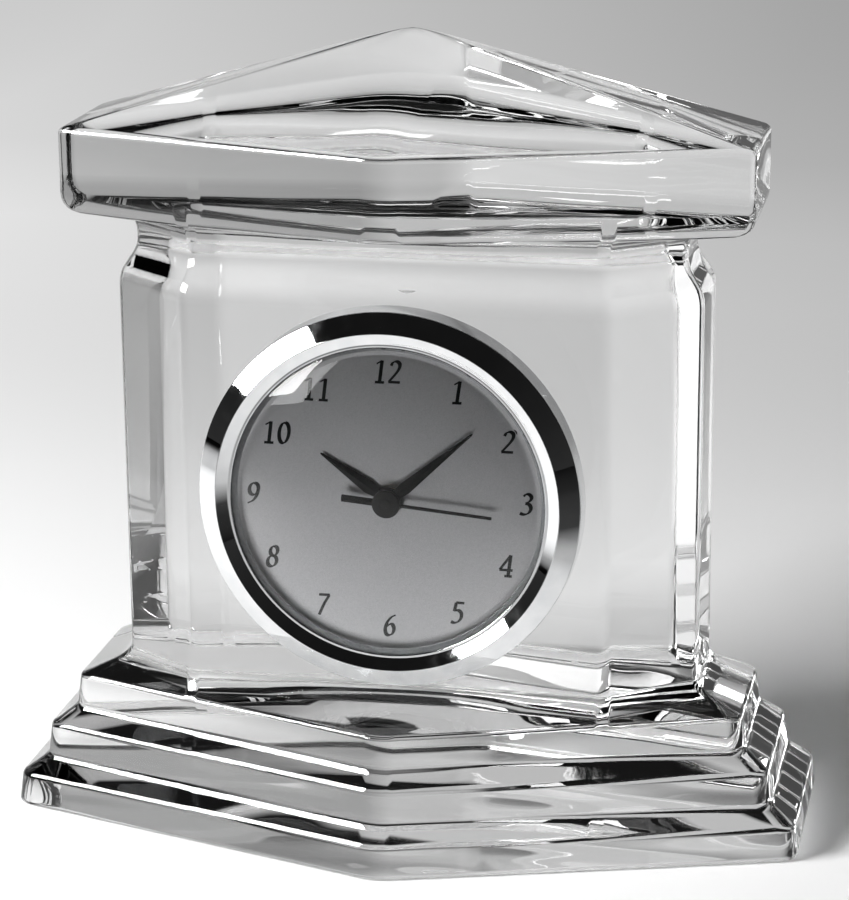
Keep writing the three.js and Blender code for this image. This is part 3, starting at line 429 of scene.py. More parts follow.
# A closed outline of radius and level turned about the insert's axis, or about a point beside it
def turned(name, profile, sides=SIDES, centre=(0, 0)):
    points = []
    rows = []
    for radius, level in profile:
        row = []
        for side in range(sides):
            x, y = polar(radius, 2 * math.pi * side / sides)
            row.append(len(points))
            points.append(insert_point(centre[0] + x, centre[1] + y, level))
            if radius < AXIS_LIMIT:
                row = row * sides
                break
        rows.append(row)
    faces = []
    for first, second in zip(rows, rows[1:] + rows[:1]):
        for side in range(sides):
            follow = (side + 1) % sides
            corners = [first[side], first[follow], second[follow], second[side]]
            face = list(dict.fromkeys(corners))
            if len(face) > 2:
                faces.append(face)
    return mesh_object(name, points, faces)


# The same from corners of radius, level and edge
def turned_edges(name, corners, sides=SIDES, centre=(0, 0)):
    outline = [(radius, level) for radius, level, _ in corners]
    reaches = [(edge, edge) for _, _, edge in corners]
    profile = rounded(outline, reaches, EDGE_STEPS, True)
    return turned(name, [tuple(point) for point in profile], sides, centre)


# A round cutting tool along the insert's axis
def drill(radius, back, front, centre, sides=DRILL_SIDES):
    return turned("drill", [(0, back), (radius, back), (radius, front), (0, front)], sides, centre)


# An outline in the insert's plane, raised from one level to another
def raised(name, outline, back, front):
    return lofted(name, [[insert_point(x, y, level) for x, y in outline] for level in (back, front)])


# Shader nodes
def new_material(name):
    material = bpy.data.materials.new(name)
    material.use_nodes = True
    tree = material.node_tree
    return material, tree, tree.nodes["Principled BSDF"]


def settings(shader, **values):
    for name, value in values.items():
        shader.inputs[name.replace("_", " ").title().replace("Ior", "IOR")].default_value = value


def object_position(tree):
    return tree.nodes.new("ShaderNodeTexCoord").outputs["Object"]


def light_path(tree, kind):
    return tree.nodes.new("ShaderNodeLightPath").outputs[kind]


def axes(tree, vector):
    split = tree.nodes.new("ShaderNodeSeparateXYZ")
    tree.links.new(vector, split.inputs["Vector"])
    return split.outputs["X"], split.outputs["Y"], split.outputs["Z"]


def noise(tree, scale, detail, stretch=(1, 1, 1)):
    mapping = tree.nodes.new("ShaderNodeMapping")
    mapping.inputs["Scale"].default_value = stretch
    texture = tree.nodes.new("ShaderNodeTexNoise")
    texture.inputs["Scale"].default_value = scale
    texture.inputs["Detail"].default_value = detail
    tree.links.new(object_position(tree), mapping.inputs["Vector"])
    tree.links.new(mapping.outputs["Vector"], texture.inputs["Vector"])
    return texture.outputs["Fac"]


def wave(tree, scale, distortion, **kind):
    texture = tree.nodes.new("ShaderNodeTexWave")
    for name, value in kind.items():
        setattr(texture, name, value)
    texture.inputs["Scale"].default_value = scale
    texture.inputs["Distortion"].default_value = distortion
    tree.links.new(object_position(tree), texture.inputs["Vector"])
    return texture.outputs["Fac"]


def grey(level):
    return level, level, level


def shade(colour, factor):
    return tuple(min(1, channel * factor) for channel in colour)


def ramp(tree, factor, stops):
    blend = tree.nodes.new("ShaderNodeValToRGB")
    elements = blend.color_ramp.elements
    while len(elements) < len(stops):
        elements.new(0.5)
    for element, (spot, colour) in zip(elements, stops):
        element.position = spot
        element.color = (*colour, 1)
    tree.links.new(factor, blend.inputs["Fac"])
    return blend.outputs["Color"]


def remap(tree, value, old, new):
    node = tree.nodes.new("ShaderNodeMapRange")
    for name, number in zip(("From Min", "From Max", "To Min", "To Max"), (*old, *new)):
        node.inputs[name].default_value = number
    tree.links.new(value, node.inputs["Value"])
    return node.outputs["Result"]


# Grey levels along one axis, each at its place in millimetres
def fade(tree, axis, stops):
    first = stops[0][0]
    last = stops[-1][0]
    share = remap(tree, axis, (first * MM, last * MM), (0, 1))
    return ramp(tree, share, [((spot - first) / (last - first), grey(level)) for spot, level in stops])


# From nothing to all between two places in millimetres
def onset(tree, axis, places):
    return remap(tree, axis, [spot * MM for spot in places], (0, 1))


def mix(tree, factor, first, second, blend="MIX"):
    node = tree.nodes.new("ShaderNodeMix")
    node.data_type = "RGBA"
    node.blend_type = blend
    for name, value in (("Factor", factor), ("A", first), ("B", second)):
        if isinstance(value, bpy.types.NodeSocket):
            tree.links.new(value, node.inputs[name])
        else:
            node.inputs[name].default_value = value
    return node.outputs["Result"]


def product(tree, first, second):
    return mix(tree, 1, first, second, "MULTIPLY")


def mix_surface(tree, factor, first, second):
    mixed = tree.nodes.new("ShaderNodeMixShader")
    for value, socket in zip((factor, first, second), mixed.inputs):
        tree.links.new(value, socket)
    tree.links.new(mixed.outputs["Shader"], tree.nodes["Material Output"].inputs["Surface"])


def bump(tree, shader, height, distance, strength=None):
    node = tree.nodes.new("ShaderNodeBump")
    node.inputs["Distance"].default_value = distance
    if strength:
        tree.links.new(strength, node.inputs["Strength"])
    tree.links.new(height, node.inputs["Height"])
    tree.links.new(node.outputs["Normal"], shader.inputs["Normal"])


# Materials, most of them with one texture for colour, roughness and relief
def finish_surface(tree, shader, texture, colours, roughness, relief):
    tree.links.new(ramp(tree, texture, colours), shader.inputs["Base Color"])
    tree.links.new(remap(tree, texture, *roughness), shader.inputs["Roughness"])
    bump(tree, shader, texture, relief)


# Moulded, painted and plain metal finishes share a fine grain that varies colour, gloss and relief
def grained(
    name, colour, roughness, scale, metallic=0, relief=2e-5, spread=0.12, stretch=(1, 1, 1), sheen=0.5,
):
    material, tree, shader = new_material(name)
    settings(shader, metallic=metallic, specular_ior_level=sheen)
    grain = noise(tree, scale, detail=4, stretch=stretch)
    low, high = GRAIN_RANGE
    colours = [(low, shade(colour, 1 - spread)), (high, shade(colour, 1 + spread))]
    gloss = GRAIN_RANGE, [roughness * share for share in GRAIN_GLOSS]
    finish_surface(tree, shader, grain, colours, gloss, relief)
    return material


# Clear glass that lamps shine through with a loss
def clear_glass(name, ior, gloss, loss):
    material, tree, shader = new_material(name)
    settings(shader, transmission_weight=1, ior=ior, specular_tint=(*grey(gloss), 1))
    clouds = noise(tree, scale=30, detail=2)
    tint = ramp(tree, clouds, [(0, (0.92, 0.925, 0.925)), (1, (0.97, 0.97, 0.97))])
    tree.links.new(tint, shader.inputs["Base Color"])
    tree.links.new(remap(tree, clouds, (0, 1), (0.002, 0.006)), shader.inputs["Roughness"])
    clear = tree.nodes.new("ShaderNodeBsdfTransparent")
    clear.inputs["Color"].default_value = (*grey(1 - loss), 1)
    mix_surface(tree, light_path(tree, "Is Shadow Ray"), shader.outputs["BSDF"], clear.outputs["BSDF"])
    return material, tree, shader


# Pressed glass is wavy in the base and roof, and nearly flat where the body is polished
def crystal():
    material, tree, shader = clear_glass("crystal", ior=1.53, gloss=1, loss=0.8)
    height = axes(tree, object_position(tree))[2]
    strength = fade(tree, height, [
        (BASE_TOP, 1), (BASE_TOP + WAVE_FADE, BODY_WAVES),
        (ROOF_FOOT - WAVE_FADE / 2, BODY_WAVES), (ROOF_FOOT + WAVE_FADE / 2, ROOF_WAVES),
    ])
    waves = noise(tree, scale=34, detail=1, stretch=(0.5, 1, 1))
    bump(tree, shader, waves, WAVE_HEIGHT * MM, strength)
    return material


def lens_glass():
    material, tree, shader = clear_glass("lens_glass", ior=1.5, gloss=0.5, loss=0.99)
    bump(tree, shader, noise(tree, scale=20, detail=2), 1e-6)
    return material


def chrome():
    material, tree, shader = new_material("chrome")
    settings(shader, metallic=1)
    haze = noise(tree, scale=260, detail=5)
    colour = ramp(tree, haze, [(0.35, (0.78, 0.79, 0.8)), (0.65, (0.86, 0.865, 0.87))])
    tree.links.new(colour, shader.inputs["Base Color"])
    tree.links.new(remap(tree, haze, (0.45, 0.75), (0.02, 0.07)), shader.inputs["Roughness"])
    bump(tree, shader, noise(tree, scale=1800, detail=2), 4e-7)
    return material


def dial_silver():
    material, tree, shader = new_material("dial_silver")
    settings(shader, metallic=1)
    grain = noise(tree, scale=5200, detail=3)
    cloud = noise(tree, scale=70, detail=3)
    colour = ramp(tree, grain, [(0.3, (0.45, 0.45, 0.46)), (0.7, (0.55, 0.55, 0.56))])
    tree.links.new(colour, shader.inputs["Base Color"])
    tree.links.new(remap(tree, cloud, (0.3, 0.7), (0.28, 0.31)), shader.inputs["Roughness"])
    bump(tree, shader, grain, 3e-6)
    return material


def turned_brass():
    material, tree, shader = new_material("brass")
    settings(shader, metallic=1)
    rings = wave(tree, scale=900, distortion=1.5, wave_type="RINGS", rings_direction="Y")
    colours = [(0.2, (0.5, 0.34, 0.12)), (0.8, (0.7, 0.5, 0.19))]
    finish_surface(tree, shader, rings, colours, roughness=((0, 1), (0.22, 0.36)), relief=4e-6)
    return material


def wound_copper():
    material, tree, shader = new_material("copper")
    settings(shader, metallic=0.85, coat_weight=0.4)
    turns = wave(tree, scale=1600, distortion=0.6, bands_direction="X")
    colours = [(0.1, (0.28, 0.09, 0.04)), (0.7, (0.66, 0.26, 0.12))]
    finish_surface(tree, shader, turns, colours, roughness=((0, 1), (0.4, 0.25)), relief=4e-5)
    return material


def board_green():
    material, tree, shader = new_material("board_green")
    settings(shader, coat_weight=0.3)
    cells = tree.nodes.new("ShaderNodeTexVoronoi")
    cells.distance = "CHEBYCHEV"
    cells.inputs["Scale"].default_value = 700
    tree.links.new(object_position(tree), cells.inputs["Vector"])
    colours = [(0.35, (0.05, 0.17, 0.08)), (0.5, (0.03, 0.1, 0.05))]
    tracks = cells.outputs["Distance"]
    finish_surface(tree, shader, tracks, colours, roughness=((0, 0.6), (0.35, 0.5)), relief=1e-5)
    return material


looks = {
    "crystal": crystal(),
    "lens_glass": lens_glass(),
    "chrome": chrome(),
    "dial_silver": dial_silver(),
    "black_paint": grained("black_paint", grey(0.005), 0.4, scale=2500, relief=4e-6, sheen=0.2),
    "black_plastic": grained("black_plastic", (0.045, 0.045, 0.047), 0.45, scale=1500),
    "dark_plastic": grained("dark_plastic", (0.13, 0.13, 0.135), 0.4, scale=1500),
    "rubber": grained("rubber", grey(0.016), 0.85, scale=700, relief=4e-5),
    "grey_plastic": grained("grey_plastic", (0.3, 0.31, 0.32), 0.5, scale=1200),
    "white_plastic": grained("white_plastic", (0.76, 0.75, 0.7), 0.45, scale=1100, spread=0.05),
    "brass": turned_brass(),
    "steel": grained(
        "steel", (0.52, 0.53, 0.54), 0.3, scale=600, metallic=1, relief=3e-6, spread=0.1, stretch=(1, 1, 14),
    ),
    "magnet": grained(
        "magnet", (0.09, 0.09, 0.1), 0.45, scale=1700, metallic=0.9, relief=1e-5, spread=0.25,
    ),
    "copper": wound_copper(),
    "board_green": board_green(),
}


def dress(piece, body, slot, *replaced, look=None):
    piece.data.materials.clear()
    piece.data.materials.append(looks[look or slot])
    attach(piece, body)
    if replaced:
        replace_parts(piece, *replaced)


# Crystal: outlines seen from above, front V first, anticlockwise, with the same ten corners at every level
def mirrored(depth, front, rear):
    half = [(0, -depth)] + [(x, -y) for x, y in front] + [*reversed(rear), (0, depth)]
    return half + [(-x, y) for x, y in half[-2:0:-1]]


def hexagon(size, inset=0):
    half_width, end_depth, v_depth = size
    slope = (v_depth - end_depth) / half_width
    width = half_width - inset
    depth = v_depth - inset * math.hypot(1, slope)
    corners = [(x, depth - slope * x) for x in (BODY_FRONT_HALF_WIDTH, width)]
    return mirrored(depth, corners, corners)


# Both ends of a chamfer between a broad face and an end face
def chamfer_ends(end_depth, inset):
    run = BODY_HALF_WIDTH - BODY_FRONT_HALF_WIDTH
    fall = BODY_HALF_DEPTH - end_depth
    face = math.hypot(run, fall)
    broad = (BODY_FRONT_HALF_WIDTH - inset * (face - run) / fall, BODY_HALF_DEPTH - inset)
    return [broad, (BODY_HALF_WIDTH - inset, end_depth - inset * (face - fall) / run)]


def octagon(inset=0):
    front = chamfer_ends(BODY_END_DEPTH, inset)
    return mirrored(BODY_HALF_DEPTH - inset, front, chamfer_ends(BODY_REAR_END_DEPTH, inset))


def scaled(plan, share):
    return [(x * share, y * share) for x, y in plan]


def block_outlines():
    outlines = [(hexagon(BASE_SIZE, BASE_CAP_INSET), 0, NO_EDGE)]
    for step in range(STEP_COUNT):
        size = [whole - step * inset for whole, inset in zip(BASE_SIZE, STEP_INSETS)]
        foot = step * STEP_PITCH
        outlines.append((hexagon(size, -RISER_DRAFT), foot, STEP_HOLLOW if step else FOOT_EDGE))
        outlines.append((hexagon(size), foot + STEP_RISER, STEP_EDGE))
    roof = hexagon(ROOF_SIZE)
    return outlines + [
        (octagon(), BODY_FOOT, BODY_FOOT_HOLLOW),
        (octagon(), SHOULDER_FOOT, SHOULDER_EDGE),
        (octagon(SHOULDER_INSET), NECK_FOOT, NECK_EDGE),
        (octagon(SHOULDER_INSET), ROOF_FOOT, NECK_COVE),
        (roof, ROOF_FOOT, ROOF_LOWER_EDGE),
        (roof, ROOF_TOP, ROOF_UPPER_EDGE),
        (scaled(roof, PEAK_FLAT), PEAK, PEAK_EDGE),
        (scaled(roof, PEAK_TIP), PEAK, NO_EDGE),
    ]


# The V softens where it runs out into a flat face
def corner_reaches(ring):
    fold = (abs(ring[0].y) - abs(ring[1].y)) / V_FOLD
    v_reach = V_EDGE / max(fold, V_SOFTEST)
    end_reach = BASE_END_EDGE if ring[0].z < BASE_TOP else END_EDGE
    half = [v_reach, CREASE_EDGE, end_reach, end_reach, CREASE_EDGE]
    return [(reach, reach) for reach in half + half]


def crystal_block():
    outlines = block_outlines()
    reaches = [reach for _, _, reach in outlines]
    columns = []
    for corner in range(len(outlines[0][0])):
        column = [(*plan[corner], height) for plan, height, _ in outlines]
        columns.append(rounded(column, reaches, ROUND_STEPS, False))
    rings = [rounded(ring, corner_reaches(ring), ROUND_STEPS, True) for ring in zip(*columns)]
    block = lofted("crystal_block", [[block_point(*point) for point in ring] for ring in rings])
    floor = levels("set_knob")[0] - BORE_FLOOR_GAP
    cut(block, drill(BORE_RADIUS, floor, BEZEL_TOP, (0, 0), SIDES))
    soften(block)
    dress(block, "crystal", "crystal", "crystal_body")


crystal_block()


# Bezel, lens, gasket and dial
def bezel_ring():
    lip_front = BEZEL_TOP - BEZEL_STEP
    lip_back = lip_front - BEZEL_LIP
    ring = turned_edges("bezel_ring", [
        (BEZEL_BORE, SEAT_GAP, FINE_EDGE),
        (BEZEL_RADIUS, SEAT_GAP, BEZEL_FOOT_EDGE),
        (BEZEL_RADIUS - BEZEL_TAPER, BEZEL_SIDE, SOFT_EDGE),
        (BEZEL_CREST, BEZEL_TOP, BEZEL_CREST_EDGE),
        (BEZEL_LIP_RADIUS, lip_front, BEZEL_LIP_EDGE),
        (BEZEL_OPENING, lip_front, SMALL_EDGE),
        (BEZEL_OPENING, lip_back, FINE_EDGE),
        (BEZEL_BORE, lip_back, FINE_EDGE),
    ])
    soften(ring)
    dress(ring, "insert", "chrome", "bezel")


def dome(radius, base, rise):
    result = []
    for step in range(LENS_STEPS + 1):
        share = math.cos(step / LENS_STEPS * math.pi / 2)
        result.append((0 if step == LENS_STEPS else radius * share, base + rise * (1 - share ** LENS_POWER)))
    return result


def lens_cover():
    flange_front = LENS_BACK + LENS_FLANGE
    edge_top = flange_front + LENS_EDGE
    inside = dome(LENS_RADIUS - LENS_THICKNESS, LENS_BACK, LENS_TOP - LENS_THICKNESS - LENS_BACK)
    outside = dome(LENS_RADIUS, edge_top, LENS_TOP - edge_top)
    flange = [(CAN_RADIUS, LENS_BACK), (CAN_RADIUS, flange_front), (LENS_RADIUS, flange_front)]
    cover = turned("lens_cover", inside[::-1] + flange + outside)
    soften(cover)
    dress(cover, "insert", "lens_glass", "lens")


def gasket_ring():
    back, front = levels("lens_gasket")
    ring = turned_edges("gasket_ring", [
        (GASKET_INNER, back, SMALL_EDGE),
        (CAN_RADIUS, back, FINE_EDGE),
        (CAN_RADIUS, front, FINE_EDGE),
        (GASKET_INNER, front, SOFT_EDGE),
    ])
    soften(ring)
    dress(ring, "insert", "grey_plastic", "lens_gasket")


def dial_disc():
    disc = turned_edges("dial_disc", [
        (DIAL_HOLE, DIAL_BACK, HAIR_EDGE),
        (CAN_RADIUS, DIAL_BACK, FINE_EDGE),
        (CAN_RADIUS, DIAL_FRONT, SMALL_EDGE),
        (DIAL_HOLE, DIAL_FRONT, FINE_EDGE),
    ])
    soften(disc)
    dress(disc, "insert", "dial_silver", "dial")


bezel_ring()
lens_cover()
gasket_ring()
dial_disc()


# Numbers: each pen stroke is a line through its points, straight if there are two
def oval(x, y, half_width, half_height):
    turns = [math.pi / 2 + 2 * math.pi * i / (OVAL_POINTS - 1) for i in range(OVAL_POINTS)]
    return [(x + half_width * math.cos(turn), y + half_height * math.sin(turn)) for turn in turns]


DIGITS = {
    "0": [oval(0.27, 0.5, 0.21, 0.46)],
    "1": [[(0.08, 0.82), (0.3, 0.96)], [(0.3, 0.97), (0.3, 0.04)], [(0.1, 0.03), (0.5, 0.03)]],
    "2": [
        [(0.07, 0.76), (0.14, 0.9), (0.29, 0.95), (0.43, 0.86), (0.44, 0.68), (0.33, 0.45), (0.05, 0.06)],
        [(0.04, 0.06), (0.54, 0.06)],
    ],
    "3": [
        [(0.08, 0.84), (0.18, 0.94), (0.32, 0.93), (0.42, 0.8), (0.36, 0.64), (0.2, 0.54)],
        [(0.2, 0.54), (0.38, 0.48), (0.46, 0.3), (0.38, 0.11), (0.2, 0.04), (0.03, 0.09)],
    ],
    "4": [
        [(0.42, 0.97), (0.03, 0.3)], [(0.02, 0.3), (0.58, 0.3)],
        [(0.42, 0.97), (0.42, 0.04)], [(0.26, 0.03), (0.58, 0.03)],
    ],
    "5": [
        [(0.14, 0.94), (0.5, 0.94)], [(0.15, 0.94), (0.11, 0.55)],
        [(0.11, 0.57), (0.28, 0.6), (0.42, 0.48), (0.43, 0.27), (0.32, 0.1), (0.16, 0.04), (0.02, 0.08)],
    ],
    "6": [[
        (0.45, 0.95), (0.27, 0.84), (0.12, 0.6), (0.07, 0.32), (0.14, 0.1), (0.27, 0.04), (0.41, 0.12),
        (0.46, 0.32), (0.38, 0.5), (0.26, 0.53), (0.12, 0.42),
    ]],
    "7": [[(0.04, 0.93), (0.52, 0.93)], [(0.5, 0.92), (0.33, 0.55), (0.17, 0.03)]],
    "8": [oval(0.28, 0.74, 0.155, 0.21), oval(0.26, 0.28, 0.19, 0.24)],
    "9": [oval(0.27, 0.68, 0.19, 0.27), [(0.46, 0.7), (0.43, 0.42), (0.3, 0.17), (0.08, 0.03)]],
}


def smooth_line(points):
    if len(points) == 2:
        return [Vector(point) for point in points]
    if points[0] == points[-1]:
        ends = [points[-2]], [points[1]]
    else:
        ends = [points[0]], [points[-1]]
    guide = [Vector(point) for point in ends[0] + points + ends[1]]
    result = []
    for a, b, c, d in zip(guide, guide[1:], guide[2:], guide[3:]):
        for step in range(STROKE_STEPS):
            t = step / STROKE_STEPS
            result.append(0.5 * (2 * b + (c - a) * t + (2 * a - 5 * b + 4 * c - d) * t ** 2
                                 + (3 * b - a - 3 * c + d) * t ** 3))
    return result + [guide[-2]]


# The broad pen leaves thick strokes across its edge and thin ones along it
def stroke_edges(line):
    left, right = [], []
    for i, point in enumerate(line):
        along = (line[min(i + 1, len(line) - 1)] - line[max(i - 1, 0)]).normalized()
        turn = math.atan2(along.y, along.x) - PEN_ANGLE
        half = (PEN_THIN + (PEN_THICK - PEN_THIN) * abs(math.sin(turn))) / 2
        across = Vector((-along.y, along.x)) * half
        left.append(point + across)
        right.append(point - across)
    return left, right


def number_shape(number):
    shift = 0
    strokes = []
    for digit in str(number):
        for points in DIGITS[digit]:
            line = smooth_line([(x + shift, y) for x, y in points])
            strokes.append(stroke_edges(line))
        shift += DIGIT_WIDTHS.get(digit, DIGIT_WIDTH) + DIGIT_GAP
    return strokes, shift - DIGIT_GAP


# Faces of the stroke whose points were added last: back, front, both edges and both ends
def stroke_faces(total, count):
    back = total - 4 * count
    front = back + 2 * count
    faces = []
    for i in range(count - 1):
        for first in (back, front):
            faces.append([first + i, first + i + 1, first + count + i + 1, first + count + i])
        for edge in (0, count):
            faces.append([back + edge + i, back + edge + i + 1, front + edge + i + 1, front + edge + i])
    for end in (0, count - 1):
        faces.append([back + end, back + count + end, front + count + end, front + end])
    return faces


def print_numbers():
    points, faces = [], []
    for number in range(1, 13):
        strokes, width = number_shape(number)
        angle = math.radians(HOUR_ANGLE * number)
        nudge = NUMBER_NUDGES.get(number, (0, 0))
        middle_x = NUMBER_REACH[0] * math.sin(angle) + nudge[0]
        middle_y = NUMBER_REACH[1] * math.cos(angle) + nudge[1]
        for left, right in strokes:
            for level in (DIAL_FRONT - NUMBER_RELIEF, DIAL_FRONT + NUMBER_RELIEF):
                for point in left + right:
                    rise = point.y - 0.5
                    x = (point.x - width / 2 + rise * NUMBER_SLANT) * NUMBER_HEIGHT
                    points.append(insert_point(middle_x + x, middle_y + rise * NUMBER_HEIGHT, level))
            faces.extend(stroke_faces(len(points), len(left)))
    numbers = mesh_object("dial_numbers", points, faces)
    dress(numbers, "insert", "black_paint")


print_numbers()


# Hands: blades with a low ridge, on round bosses; the second hand carries the domed hub
def along_hand(angle, across, reach, level):
    turn = math.radians(angle)
    x = reach * math.sin(turn) + across * math.cos(turn)
    y = reach * math.cos(turn) - across * math.sin(turn)
    return insert_point(x, y, level)


def blade(name, angle, stations, back):
    edge = back + HAND_THICKNESS * HAND_SIDE_SHARE
    front = back + HAND_THICKNESS
    rings = []
    for reach, half in stations:
        section = [(-half, back), (half, back), (half, edge), (0, front), (-half, edge)]
        rings.append([along_hand(angle, across, reach, level) for across, level in section])
    return lofted(name, rings)


def boss(hole, back):
    front = back + HAND_THICKNESS
    return turned_edges("boss", [
        (hole, back, HAIR_EDGE),
        (HUB_RADIUS, back, HAIR_EDGE),
        (HUB_RADIUS, front, BOSS_EDGE),
        (hole, front, HAIR_EDGE),
    ], HAND_SIDES)


def pointing_hand(name, body, node, size, hole):
    angle, length, half = size
    back = levels(node)[0]
    tip = [(length - HAND_TIP_RUN, HAND_TIP), (length, HAND_POINT)]
    stations = [(hole, HAND_WAIST), (HAND_WIDEST, half)] + tip
    hand = merge(name, blade("blade", angle, stations, back), boss(hole, back))
    soften(hand, HAND_SHARP_ANGLE)
    dress(hand, body, "black_paint", node)


def needle_stations(length, half):
    near, end = [half * share for share in NEEDLE_TAPER]
    return [(NEEDLE_START, half), (length - NEEDLE_TIP_RUN, near), (length, end)]


def tail_stations():
    start = [(reach, TAIL_HALF_WIDTH) for reach in (NEEDLE_START, SECOND_TAIL - TAIL_CORNER)]
    return start + [(SECOND_TAIL, TAIL_HALF_WIDTH - TAIL_CORNER)]


def hub(back):
    top = back + HUB_HEIGHT
    floor = top - HAND_THICKNESS
    button_foot, button_top = HUB_BUTTON
    return turned_edges("hub", [
        (0, floor, 0),
        (HUB_BORE, floor, 0),
        (HUB_BORE, back, HAIR_EDGE),
        (HUB_RADIUS, back, FINE_EDGE),
        (HUB_RADIUS, top - HUB_EDGE, HUB_EDGE),
        (button_foot, top - HUB_BUTTON_HEIGHT, FINE_EDGE),
        (button_top, top, FINE_EDGE),
        (0, top, 0),
    ], HAND_SIDES)


def second_hand():
    angle, length, half = SECOND_HAND
    back = levels("second_hand")[0]
    needle = blade("needle", angle, needle_stations(length, half), back)
    tail = blade("tail", angle + 180, tail_stations(), back)
    hand = merge("second_pointer", needle, tail, hub(back))
    soften(hand, SECOND_SHARP_ANGLE)
    dress(hand, "seconds", "black_paint", "second_hand")


pointing_hand("hour_pointer", "hours", "hour_hand", HOUR_HAND, HOUR_HOLE)
pointing_hand("minute_pointer", "minutes", "minute_hand", MINUTE_HAND, MINUTE_HOLE)
second_hand()


# Rear of the insert: can, grip ring, cell cap, knob and case screws
def sector(name, centre, radius, degrees, turn, back, front):
    outline = [centre]
    for step in range(SECTOR_STEPS + 1):
        x, y = polar(radius, math.radians(turn - degrees / 2 + degrees * step / SECTOR_STEPS))
        outline.append((centre[0] + x, centre[1] + y))
    return raised(name, outline, back, front)


def slot_bar(centre, half_length, width, back, front):
    x, y = centre
    half = width / 2
    outline = [
        (x - half_length, y - half), (x + half_length, y - half),
        (x + half_length, y + half), (x - half_length, y + half),
    ]
    return raised("slot", outline, back, front)


def screw_places():
    return [polar(CASE_SCREW_CIRCLE, math.radians(angle)) for angle in CASE_SCREW_ANGLES]


def rear_can():
    inside = CAN_BACK + CAN_FLOOR
    seat = CAN_FRONT - CAN_SEAT_DEPTH
    can = turned_edges("rear_can", [
        (0, CAN_BACK, 0),
        (CAN_RADIUS, CAN_BACK, CAN_EDGE),
        (CAN_RADIUS, GROOVE_BACK, FINE_EDGE),
        (GROOVE_RADIUS, GROOVE_BACK, FINE_EDGE),
        (GROOVE_RADIUS, GROOVE_FRONT, FINE_EDGE),
        (CAN_RADIUS, GROOVE_FRONT, FINE_EDGE),
        (CAN_RADIUS, CAN_FRONT, FINE_EDGE),
        (CAN_SEAT_RADIUS, CAN_FRONT, FINE_EDGE),
        (CAN_SEAT_RADIUS, seat, FINE_EDGE),
        (CAN_BORE, seat, FINE_EDGE),
        (CAN_BORE, inside, SOFT_EDGE),
        (0, inside, 0),
    ])
    back = CAN_BACK - CUT_MARGIN
    front = inside + CUT_MARGIN
    tools = [drill(CAP_HOLE, back, front, CELL_CENTRE), drill(STEM_HOLE, back, front, SET_CENTRE)]
    for turn in (-CAP_TURN, 180 - CAP_TURN):
        tools.append(sector("notch", CELL_CENTRE, CAP_HOLE + CAP_LUG, NOTCH_ANGLE, turn, back, front))
    tools.extend(drill(SCREW_HOLE, back, front, centre, SCREW_HOLE_SIDES) for centre in screw_places())
    cut(can, *tools)
    soften(can)
    dress(can, "insert", "black_plastic", "case_can")


def grip():
    ring = turned_edges("grip", [
        (GRIP_INNER, GRIP_BACK, SOFT_EDGE),
        (GRIP_SHOULDER, GRIP_BACK, ROUND_EDGE),
        (GRIP_RIB, GRIP_BACK + GRIP_RIB_INSET, SOFT_EDGE),
        (GRIP_VALLEY, (GRIP_BACK + GRIP_FRONT) / 2, ROUND_EDGE),
        (GRIP_RIB, GRIP_FRONT - GRIP_RIB_INSET, SOFT_EDGE),
        (GRIP_SHOULDER, GRIP_FRONT, ROUND_EDGE),
        (GRIP_INNER, GRIP_FRONT, SOFT_EDGE),
    ])
    soften(ring)
    dress(ring, "insert", "rubber", "grip_ring")


def cap_cup():
    rim = CAP_HOLE + CAP_LUG
    flange_front = CAP_BACK + CAP_FLANGE
    floor = CAP_BACK + CAP_THICKNESS
    cup = turned_edges("cell_cap_cup", [
        (0, CAP_BACK, 0),
        (rim, CAP_BACK, CAP_EDGE),
        (rim, flange_front, FINE_EDGE),
        (CAP_PLUG, flange_front, FINE_EDGE),
        (CAP_PLUG, CAP_FRONT, FINE_EDGE),
        (CAP_HOLLOW, CAP_FRONT, FINE_EDGE),
        (CAP_HOLLOW, floor, FINE_EDGE),
        (0, floor, 0),
    ], CAP_SIDES, CELL_CENTRE)
    width, depth = COIN_SLOT
    cut(cup, slot_bar(CELL_CENTRE, CAP_PLUG, width, CAP_BACK - CUT_MARGIN, CAP_BACK + depth))
    return cup


def cap_lug(turn):
    back = CAP_FRONT - LUG_HEIGHT
    lug = sector("lug", CELL_CENTRE, CAP_PLUG + CAP_LUG, LUG_ANGLE, turn, back, CAP_FRONT)
    cut(lug, drill(LUG_ROOT, back - CUT_MARGIN, CAP_FRONT + CUT_MARGIN, CELL_CENTRE))
    return lug


def cell_cap():
    whole = merge("cell_cap_cover", cap_cup(), cap_lug(0), cap_lug(180))
    soften(whole)
    dress(whole, "cell_cap", "black_plastic", "battery_cap", look="dark_plastic")


